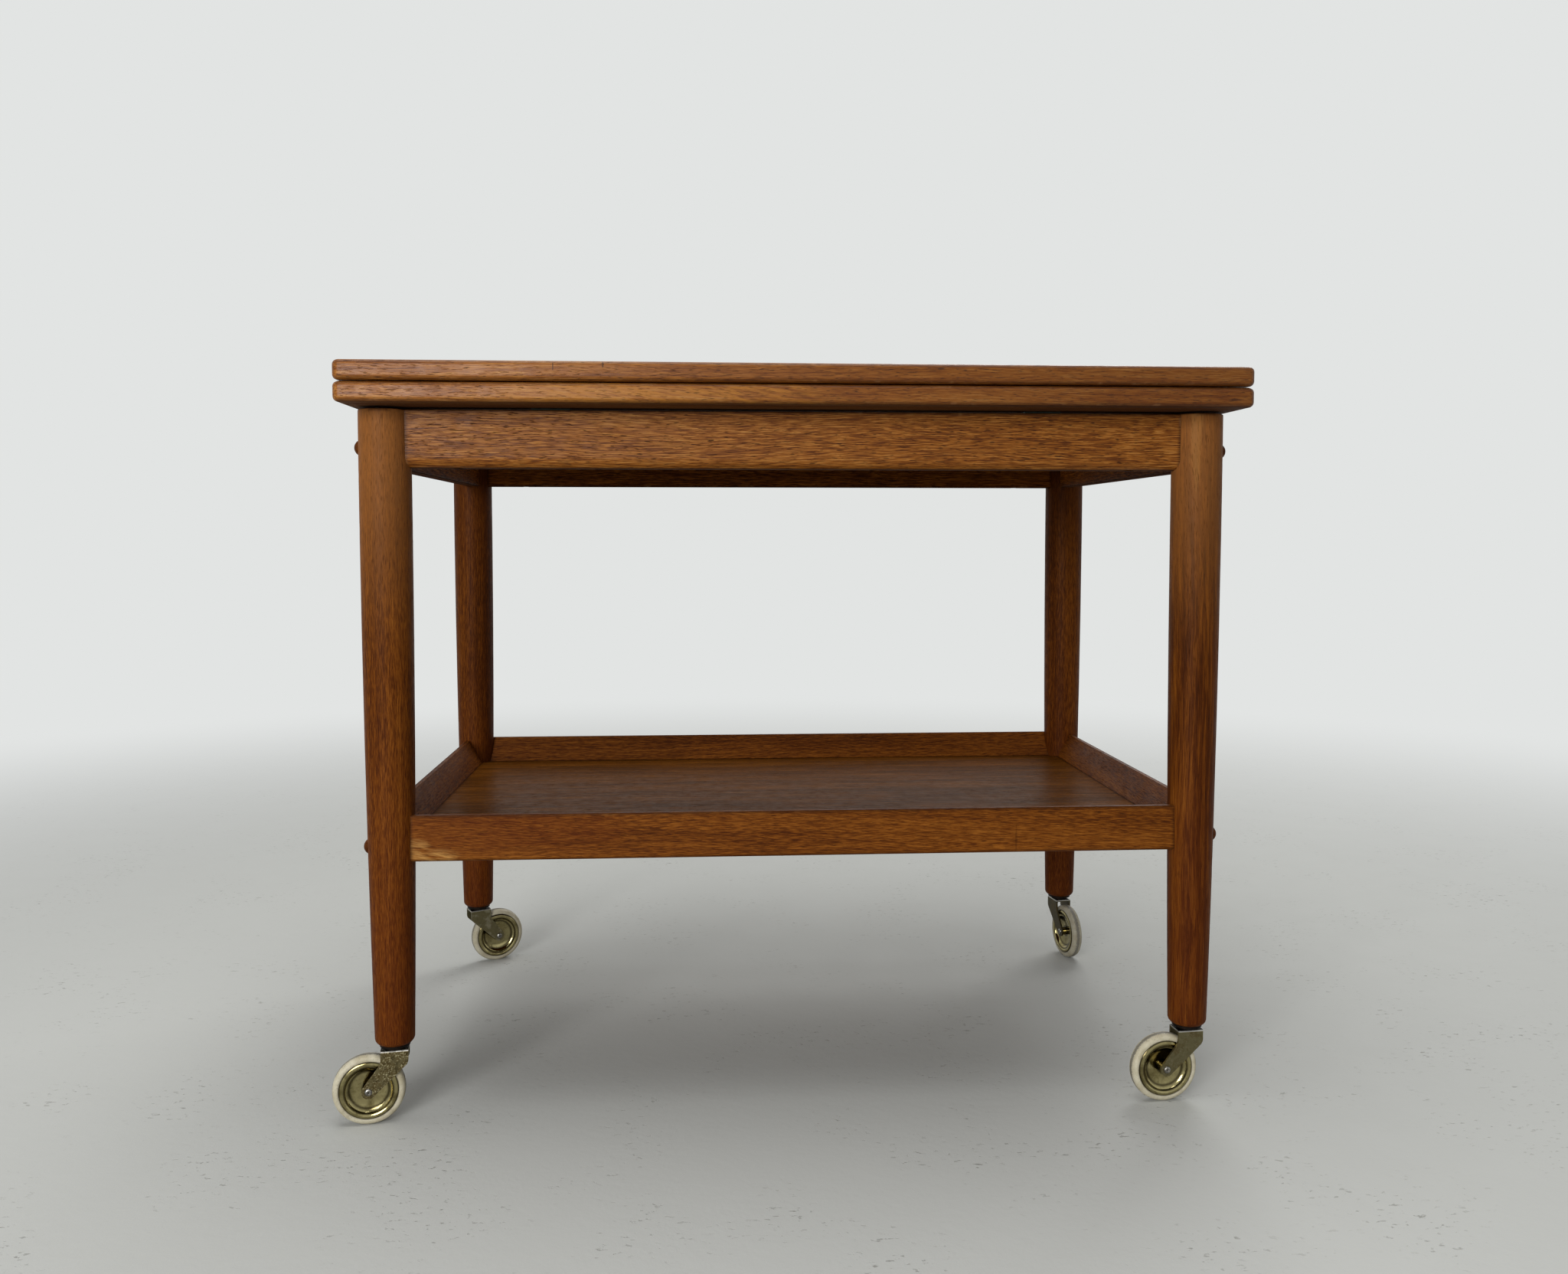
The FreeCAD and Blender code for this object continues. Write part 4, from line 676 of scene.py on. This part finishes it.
def disc_section(side):
    """One disc's section: a collar, a bowl, a hollow slope and a rolled bead."""
    web_low = WEB_FACE - BOWL_DEPTH
    bead_back = BEAD_FACE - DISC_SHEET
    points = [(DISC_MIDDLE_GAP, DISC_BORE), (HUB_FACE, DISC_BORE), (HUB_FACE, DISC_COLLAR)]
    points += bowed((web_low, DISC_COLLAR), (WEB_FACE, DISC_WEB), -BOWL_DEPTH / 3)
    points += bowed((WEB_FACE, DISC_WEB), (BEAD_FACE, DISC_SLOPE), SLOPE_RISE)
    points += [(BEAD_FACE, DISC_SLOPE)]
    points += bowed((BEAD_FACE, DISC_BEAD), (BEAD_FACE, DISC_EDGE), BEAD_RISE)
    points += [(BEAD_FACE, DISC_EDGE), (bead_back, DISC_EDGE), (bead_back, DISC_SLOPE + DISC_SHEET / 2)]
    points += [(WEB_FACE - DISC_SHEET, DISC_WEB + DISC_SHEET / 2), (web_low - DISC_SHEET, DISC_COLLAR)]
    points += [(DISC_MIDDLE_GAP, DISC_COLLAR)]
    return [(along * side, radius) for along, radius in points]


def turned(name, node, station, sections):
    """A piece turned about a wheel's axle from closed sections, in the place of a node."""
    joint = joints["spin_" + station]
    middle = Vector(joint["pos_m"])
    axle = Vector(joint["axis"]).normalized()
    upward = Vector((0, 0, 1))
    sideways = axle.cross(upward)
    shape = bmesh.new()
    for section in sections:
        rings = []
        for step in range(TURN_STEPS):
            angle = math.tau * step / TURN_STEPS
            spoke = sideways * math.cos(angle) + upward * math.sin(angle)
            places = [middle + axle * along + spoke * radius for along, radius in section]
            rings.append([shape.verts.new(place) for place in places])
        for ring, after in zip(rings, rings[1:] + rings[:1]):
            for point in range(len(section)):
                shape.faces.new((ring[point - 1], ring[point], after[point], after[point - 1]))
    bmesh.ops.recalc_face_normals(shape, faces=shape.faces)
    mesh = bpy.data.meshes.new(name)
    shape.to_mesh(mesh)
    shape.free()
    mesh.shade_smooth()
    mesh.set_sharp_from_angle(angle=SHARP_ANGLE)
    mesh.materials.append(None)
    piece = bpy.data.objects.new(name, mesh)
    bpy.context.scene.collection.objects.link(piece)
    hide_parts(node)
    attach(piece, "wheel_" + station)
    pieces[name] = piece


for station in STATIONS:
    tyre = [tyre_section(joints["spin_" + station]["pos_m"][2])]
    discs = [disc_section(1), disc_section(-1)]
    turned(f"wheel_{station}_tyre", f"caster_{station}_tyre", station, tyre)
    turned(f"wheel_{station}_discs", f"caster_{station}_discs", station, discs)

# Metal: colours from clean to tarnished with the pits' colour last, roughness, sizes of patches and pits,
# and how strong the pits are

PATCH_SIZE = 7 * MILLIMETRE
PIT_SIZE = 1.5 * MILLIMETRE
BRASS = (BRASS_CLEAN, BRASS_CLEAN, BRASS_DULL, BRASS_DARK)
STEEL = (STEEL_CLEAN, STEEL_DULL, IRON_RUST)
IRON = (IRON_BLACK, IRON_BLACK, IRON_RUST)
DISC_METAL = {"colours": BRASS, "rough": 0.1, "patch": PATCH_SIZE * 2, "pit": PIT_SIZE * 2, "pits": 0.3}
HINGE_METAL = {"colours": BRASS, "rough": 0.34, "patch": PATCH_SIZE * 2, "pit": PIT_SIZE, "pits": 0.35}
AXLE_METAL = {"colours": STEEL, "rough": 0.3, "patch": PATCH_SIZE / 2, "pit": PIT_SIZE / 2, "pits": 0.5}
SCREW_METAL = {"colours": STEEL, "rough": 0.4, "patch": PATCH_SIZE, "pit": PIT_SIZE, "pits": 0.3}
STEM_METAL = {"colours": IRON, "rough": 0.6, "patch": PATCH_SIZE, "pit": PIT_SIZE, "pits": 0.5}
SOCKET_METAL = dict(STEM_METAL, pits=0.4)
FORK_METAL = {"rough": 0.5, "patch": PATCH_SIZE, "pit": PIT_SIZE}
FORK_LOOKS = {
    "front_left": ((NICKEL_OLIVE, NICKEL_BROWN, NICKEL_OLIVE, NICKEL_PIT), 0.8),
    "front_right": ((NICKEL_OLIVE, NICKEL_OLIVE, NICKEL_BROWN, NICKEL_CLEAN), 0.2),
    "rear_left": ((NICKEL_CLEAN, NICKEL_OLIVE, NICKEL_OLIVE, NICKEL_BROWN), 0.3),
    "rear_right": ((NICKEL_DARK, NICKEL_DARK, NICKEL_BROWN, IRON_RUST), 0.4),
}
PATCHES_PER_SCRATCH = 2
SCRATCHES_PER_PATCH = 30
SCRATCH_DEPTH = 0.25
SCRATCH_RELIEF = 0.3
PATCH_RANGE = (0.28, 0.72)
PATCH_DEPTH = 0.75
PATCH_PITTED = (0.3, 0.55)
PIT_CUT = (0.52, 0.66)
BLOT_CUT = (0.36, 0.5)
PITS_PER_BLOT = 2
BLOT_SHARE = 0.6
POLISHED = 0.6
METAL_RELIEF = 0.5


def metal(name, look, seed, where=None, shade=None):
    """Aged metal: patches of tarnish, fine scratches, blots and pits."""
    recipe = Recipe(name)
    colours = look["colours"]
    most_rough = look["rough"]
    patch_size = look["patch"]
    pit_size = look["pit"]
    pits = look["pits"]
    place = where(recipe) if where else recipe.place
    grown = recipe.vector("ADD", place, (seed * SEED_STEP, seed, seed / 3))
    patch = recipe.noise(grown, (patch_size,) * 3, MIXED)
    scratch_length = patch_size * PATCHES_PER_SCRATCH
    scratch_width = patch_size / SCRATCHES_PER_PATCH
    scratch = recipe.noise(grown, (scratch_length, scratch_width, scratch_width), SOFT)
    pit = recipe.spread(recipe.noise(grown, (pit_size,) * 3, CRISP), *PIT_CUT)
    pit = recipe.math("MULTIPLY", pit, recipe.spread(patch, *PATCH_PITTED))
    blot = recipe.noise(grown, (pit_size * PITS_PER_BLOT,) * 3, RAGGED)
    blot = recipe.fade(blot, *BLOT_CUT, pits)
    depth = recipe.spread(patch, *PATCH_RANGE, 0.0, PATCH_DEPTH)
    depth = recipe.math("MULTIPLY_ADD", scratch, SCRATCH_DEPTH, depth)
    colour = recipe.ramp(depth, colours[:-1])
    if shade:
        colour = shade(recipe, place, colour)
    colour = recipe.tint(blot, BLOT_SHARE, colour, BRASS_DARK)
    colour = recipe.tint(pit, pits, colour, colours[-1])
    rough = recipe.math("MULTIPLY_ADD", scratch, most_rough / 4, most_rough * POLISHED)
    rough = recipe.math("MULTIPLY_ADD", patch, most_rough / 2, rough)
    recipe.set(Base_Color=colour, Metallic=1.0, Roughness=rough)
    height = recipe.math("MULTIPLY_ADD", pit, -pits, recipe.math("MULTIPLY", scratch, SCRATCH_RELIEF))
    recipe.bump(height, PORE_BUMP, METAL_RELIEF)
    dress(name, recipe)


# Casters: rings of tarnish and painted dark reflection as a distance from the axle and a width, bands of
# painted highlight and painted shade on the fork as heights from its top, and painted shade on the axle as
# distances from its middle

DISC_RINGS = ((15.8 * MILLIMETRE, 2.2 * MILLIMETRE), (19.4 * MILLIMETRE, 1.3 * MILLIMETRE),
              (5.2 * MILLIMETRE, 2 * MILLIMETRE), (23.5 * MILLIMETRE, 1.3 * MILLIMETRE))
# Tarnish and painted dark reflection in the rings
RING_TARNISH_AND_REFLECTION = 0.85
FORK_HIGHLIGHT_BAND = (-1.6 * MILLIMETRE, -0.9 * MILLIMETRE)
FORK_SHADED_PLATE = (-0.4 * MILLIMETRE, -0.1 * MILLIMETRE)
AXLE_RIM = (2.4 * MILLIMETRE, 3.2 * MILLIMETRE)
AXLE_RIM_SHADE = 0.85
AXLE_HOLLOW = (0.5 * MILLIMETRE, 1.1 * MILLIMETRE)
AXLE_HOLLOW_SHADE = 0.75


def axle_places(station):
    """Places seen from the wheel's middle, with the second axis along the axle."""
    joint = joints["spin_" + station]
    axis = joint["axis"]
    turn = math.atan2(-axis[0], axis[1])

    def where(recipe):
        return recipe.local(joint["pos_m"], (0, 0, turn))

    return where


def radius_of(recipe, place):
    """The distance from the axle."""
    return recipe.vector("LENGTH", recipe.vector("MULTIPLY", place, (1, 0, 1)))


def disc_shade(recipe, place, colour):
    """Dark rings in the corners of the pressed rings: tarnish, made broad and dark as a painted dark
    reflection.
    """
    radius = radius_of(recipe, place)
    for ring, width in DISC_RINGS:
        off = recipe.math("ABSOLUTE", recipe.math("SUBTRACT", radius, ring))
        colour = recipe.blend(recipe.fade(off, 0.0, width, RING_TARNISH_AND_REFLECTION), colour, BRASS_DARK)
    return colour


def fork_highlight_and_shade(recipe, place, colour):
    """The sheet's upper bend gets a painted highlight, and the top plate is painted black as painted shade.
    """
    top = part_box("caster_front_left_fork")[1].z
    highlight_band = [top + drop for drop in FORK_HIGHLIGHT_BAND]
    shaded_plate = [top + drop for drop in FORK_SHADED_PLATE]
    height = recipe.parts(recipe.place)[2]
    # Painted highlight along the bend, painted shade on the top plate
    painted_highlight = recipe.math("MULTIPLY", recipe.spread(height, *highlight_band), recipe.fade(height, *shaded_plate))
    colour = recipe.blend(painted_highlight, colour, STEEL_CLEAN)
    return recipe.blend(recipe.spread(height, *shaded_plate), colour, IRON_BLACK)


def axle_shade(recipe, place, colour):
    """Painted shade round the axle's heads, and in the small hollow in their middle."""
    radius = radius_of(recipe, place)
    colour = recipe.blend(recipe.spread(radius, *AXLE_RIM, 0.0, AXLE_RIM_SHADE), colour, IRON_BLACK)
    return recipe.blend(recipe.fade(radius, *AXLE_HOLLOW, AXLE_HOLLOW_SHADE), colour, IRON_BLACK)


# Tyres

CREAM_PATCH = 12 * MILLIMETRE
CREAM_SPECK = 0.9 * MILLIMETRE
TYRE_SHOULDER = 28 * MILLIMETRE
TYRE_ROUGH = (0.45, 0.65)
TYRE_RELIEF = 0.5
SPECK_HEIGHT = 0.6
TREAD_BAND = 1.3 * MILLIMETRE
TREAD_FADE = 1 * MILLIMETRE
TREAD_FRAY = 6 * MILLIMETRE
TREAD_SHARE = 0.8
SEAT_DARK = 0.55
GRIME_CUT = (0.6, 0.72)
GRIME_SHARE = 0.5
# Painted shade: the tyres further under the trolley are greyed more
TYRE_SHADE = {"front_left": 0.08, "front_right": 0.0, "rear_left": 0.25, "rear_right": 0.4}


def rubber(name, station, seed):
    """Cream tyre: yellowed rounded sides, greyed most on the rear wheels as painted shade, and a grey worn
    band with small cuts round the tread.
    """
    recipe = Recipe(name)
    place = axle_places(station)(recipe)
    radius = radius_of(recipe, place)
    across = recipe.math("ABSOLUTE", recipe.parts(place)[1])
    grown = recipe.vector("ADD", place, (seed, seed / 2, seed / 3))
    cloud = recipe.noise(grown, (CREAM_PATCH,) * 3, RAGGED)
    speck = recipe.noise(grown, (CREAM_SPECK,) * 3, SOFT)
    colour = recipe.ramp(recipe.spread(cloud, *NOISE_MOST), (CREAM_CLEAN, CREAM_AGED))
    # Painted shade, greying the whole tyre
    colour = recipe.blend(TYRE_SHADE[station], colour, TREAD_GREY)
    uneven = recipe.math("SUBTRACT", speck, NOISE_MIDDLE)
    ragged = recipe.math("MULTIPLY_ADD", uneven, TREAD_FRAY, across)
    band = recipe.fade(ragged, TREAD_BAND, TREAD_BAND + TREAD_FADE)
    tread = recipe.math("MULTIPLY", band, recipe.spread(radius, TYRE_SEAT, TYRE_SHOULDER))
    colour = recipe.tint(tread, TREAD_SHARE, colour, TREAD_GREY)
    # Darker where the tyre meets the discs
    seat = recipe.fade(radius, TYRE_SEAT, TYRE_SEAT + TREAD_FADE, SEAT_DARK)
    colour = recipe.blend(seat, colour, BRASS_DARK)
    colour = recipe.tint(recipe.spread(speck, *GRIME_CUT), GRIME_SHARE, colour, TREAD_GREY)
    recipe.set(Base_Color=colour, Roughness=recipe.spread(cloud, *NOISE_WHOLE, *TYRE_ROUGH))
    recipe.bump(recipe.math("MULTIPLY", speck, SPECK_HEIGHT), PORE_BUMP, TYRE_RELIEF)
    dress(name, recipe)


CASTER_SEED = 60
DISC_SEED = 70
for number, station in enumerate(STATIONS):
    seed = CASTER_SEED + number
    caster = "caster_" + station
    where = axle_places(station)
    colours, pits = FORK_LOOKS[station]
    fork_metal = dict(FORK_METAL, colours=colours, pits=pits)
    metal(caster + "_fork", fork_metal, seed, where, fork_highlight_and_shade)
    metal(f"wheel_{station}_discs", DISC_METAL, DISC_SEED + number, where, disc_shade)
    metal(caster + "_axle", AXLE_METAL, seed, where, axle_shade)
    metal(caster + "_stem", STEM_METAL, seed)
    rubber(f"wheel_{station}_tyre", station, seed)

SOCKET_SEED = 80
HINGE_SEED = 81
STEEL_SEED = 90
HINGE_PIECES = ("hinge_lower_plates", "hinge_upper_plates", "hinge_pins", "hinge_lower_screws",
                "hinge_upper_screws")
STEEL_PIECES = ("frame_bolts", "barrel_nuts", "rail_screws", "runner_screws")
metal("caster_sockets", SOCKET_METAL, SOCKET_SEED)
for seed, name in enumerate(HINGE_PIECES, start=HINGE_SEED):
    metal(name, HINGE_METAL, seed)
for seed, name in enumerate(STEEL_PIECES, start=STEEL_SEED):
    metal(name, SCREW_METAL, seed)

# Felt

FIBRE_LENGTH = 1.2 * MILLIMETRE
FIBRE_WIDTH = 0.5 * MILLIMETRE
FIBRE_RANGE = (0.3, 0.75)
FELT_PATCH = 4 * MILLIMETRE
LINT_CUT = (0.45, 0.7)
LINT_SHARE = 0.4
FELT_ROUGH = (0.85, 0.98)
FELT_SHEEN = 0.3
FELT_DEPTH = PORE_BUMP * 3
FELT_RELIEF = 0.8


def felt(name):
    """Pressed felt: matted fibres with pale lint."""
    recipe = Recipe(name)
    fibre = recipe.noise(recipe.place, (FIBRE_LENGTH, FIBRE_WIDTH, FIBRE_WIDTH), MATTED)
    matted = recipe.noise(recipe.place, (FELT_PATCH,) * 3, RAGGED)
    colour = recipe.ramp(recipe.spread(fibre, *FIBRE_RANGE), (FELT_GREEN, FELT_GREEN, FELT_LINT))
    colour = recipe.blend(recipe.spread(matted, *LINT_CUT, 0.0, LINT_SHARE), colour, FELT_LINT)
    rough = recipe.spread(fibre, *NOISE_WHOLE, *FELT_ROUGH)
    recipe.set(Base_Color=colour, Roughness=rough, Sheen_Weight=FELT_SHEEN)
    recipe.bump(fibre, FELT_DEPTH, FELT_RELIEF)
    dress(name, recipe)


felt("glide_pads")

# Floor: pale and plain near the object, fading into the backdrop further off

FLOOR_HALF = 14.0
FADE_START = 0.7
FADE_END = 2.6
MOTTLE_SIZE = 50 * MILLIMETRE
SPECK_LENGTH = 9 * MILLIMETRE
SPECK_WIDTH = 5 * MILLIMETRE
SPECK_CUT = (0.6, 0.68)
SPECK_SHARE = 0.6
CLUSTER_SIZE = 110 * MILLIMETRE
CLUSTER_CUT = (0.45, 0.65)
RELIEF_SIZE = 14 * MILLIMETRE
FLOOR_ROUGH = (0.7, 0.85)
FLOOR_SHEEN = 0.1
FLOOR_DEPTH = PORE_BUMP * 6
FLOOR_RELIEF = 0.5
corners = [(-FLOOR_HALF, -FLOOR_HALF, 0), (FLOOR_HALF, -FLOOR_HALF, 0), (FLOOR_HALF, FLOOR_HALF, 0),
           (-FLOOR_HALF, FLOOR_HALF, 0)]
floor_mesh = bpy.data.meshes.new("floor")
floor_mesh.from_pydata(corners, [], [(0, 1, 2, 3)])
floor = bpy.data.objects.new("floor", floor_mesh)
bpy.context.scene.collection.objects.link(floor)


def seen_directly(tree):
    """1 for rays that show a surface, straight on or in a reflection, and 0 for rays that light others."""
    path = tree.nodes.new("ShaderNodeLightPath")
    total = path.outputs["Is Camera Ray"]
    for name in ("Is Glossy Ray", "Is Transmission Ray"):
        node = tree.nodes.new("ShaderNodeMath")
        node.operation = "MAXIMUM"
        tree.links.new(total, node.inputs[0])
        tree.links.new(path.outputs[name], node.inputs[1])
        total = node.outputs[0]
    return total


paint = Recipe("floor_paint")
mottle = paint.noise(paint.place, (MOTTLE_SIZE,) * 3, MIXED)
speck = paint.noise(paint.place, (SPECK_LENGTH, SPECK_WIDTH, SPECK_WIDTH), CRISP)
speck = paint.spread(speck, *SPECK_CUT)
cluster = paint.spread(paint.noise(paint.place, (CLUSTER_SIZE,) * 3, RAGGED), *CLUSTER_CUT)
speck = paint.math("MULTIPLY", speck, cluster)
floor_colour = paint.tint(speck, SPECK_SHARE, FLOOR_GREY, FLOOR_SPECK)
floor_rough = paint.spread(mottle, *NOISE_MOST, *FLOOR_ROUGH)
paint.set(Base_Color=floor_colour, Roughness=floor_rough, Specular_IOR_Level=FLOOR_SHEEN)
relief = paint.noise(paint.place, (RELIEF_SIZE,) * 3, GRAINY)
paint.bump(paint.math("SUBTRACT", relief, speck), FLOOR_DEPTH, FLOOR_RELIEF)
glow = paint.tree.nodes.new("ShaderNodeEmission")
glow.inputs["Color"].default_value = linear(BACKDROP)
paint.feed(glow.inputs["Strength"], seen_directly(paint.tree))
fade = paint.tree.nodes.new("ShaderNodeMixShader")
paint.feed(fade.inputs[0], paint.spread(paint.vector("LENGTH", paint.place), FADE_START, FADE_END))
paint.feed(fade.inputs[1], paint.shader.outputs[0])
paint.feed(fade.inputs[2], glow.outputs[0])
paint.feed(paint.output.inputs["Surface"], fade.outputs[0])
floor_mesh.materials.append(paint.material)

# World: an even pale surround

WORLD_LIGHT = 0.25
world = bpy.data.worlds.new("surround")
bpy.context.scene.world = world
world.use_nodes = True
world.node_tree.nodes.clear()
sky = world.node_tree.nodes.new("ShaderNodeBackground")
sky.inputs["Color"].default_value = linear(BACKDROP)
level = world.node_tree.nodes.new("ShaderNodeMapRange")
world.node_tree.links.new(seen_directly(world.node_tree), level.inputs["Value"])
level.inputs["To Min"].default_value = WORLD_LIGHT
level.inputs["To Max"].default_value = 1
world.node_tree.links.new(level.outputs["Result"], sky.inputs["Strength"])
world_output = world.node_tree.nodes.new("ShaderNodeOutputWorld")
world.node_tree.links.new(sky.outputs[0], world_output.inputs["Surface"])

# Lamps, each with its place, size and power: a key from the front left, and softer ones above and behind

AIM = Vector((0, 0, 0.32))
LAMPS = {
    "key": ((-1.0, -2.3, 0.95), 1.1, 43),
    "top": ((-0.2, -0.2, 2.6), 1.8, 36),
    "back": ((1.2, 2.2, 2.6), 1.8, 44),
}
for lamp_name, (lamp_place, lamp_size, lamp_power) in LAMPS.items():
    lamp_data = bpy.data.lights.new(lamp_name, "AREA")
    lamp_data.size = lamp_size
    lamp_data.energy = lamp_power
    lamp = bpy.data.objects.new(lamp_name, lamp_data)
    lamp.location = lamp_place
    lamp.visible_camera = False
    lamp.rotation_euler = (AIM - Vector(lamp_place)).to_track_quat("-Z", "Y").to_euler()
    bpy.context.scene.collection.objects.link(lamp)

# Camera: the photograph's place, direction and framing

CAMERA_PLACE = (-0.0793, -1.2359, 0.4809)
LOOK_DOWN = 0.05585
LOOK_RIGHT = 0.06413
FRAME_SHIFT = -0.0192
FOCAL_PIXELS = 1659.7
IMAGE_WIDTH = 2048
SENSOR_WIDTH = 36.0
camera_data = bpy.data.cameras.new("camera")
camera_data.sensor_width = SENSOR_WIDTH
camera_data.sensor_fit = "HORIZONTAL"
camera_data.lens = FOCAL_PIXELS / IMAGE_WIDTH * SENSOR_WIDTH
camera_data.shift_y = FRAME_SHIFT
camera = bpy.data.objects.new("camera", camera_data)
camera.location = CAMERA_PLACE
camera.rotation_euler = (math.pi / 2 - LOOK_DOWN, 0, -LOOK_RIGHT)
bpy.context.scene.collection.objects.link(camera)
bpy.context.scene.camera = camera

bpy.context.scene.view_settings.view_transform = "Standard"
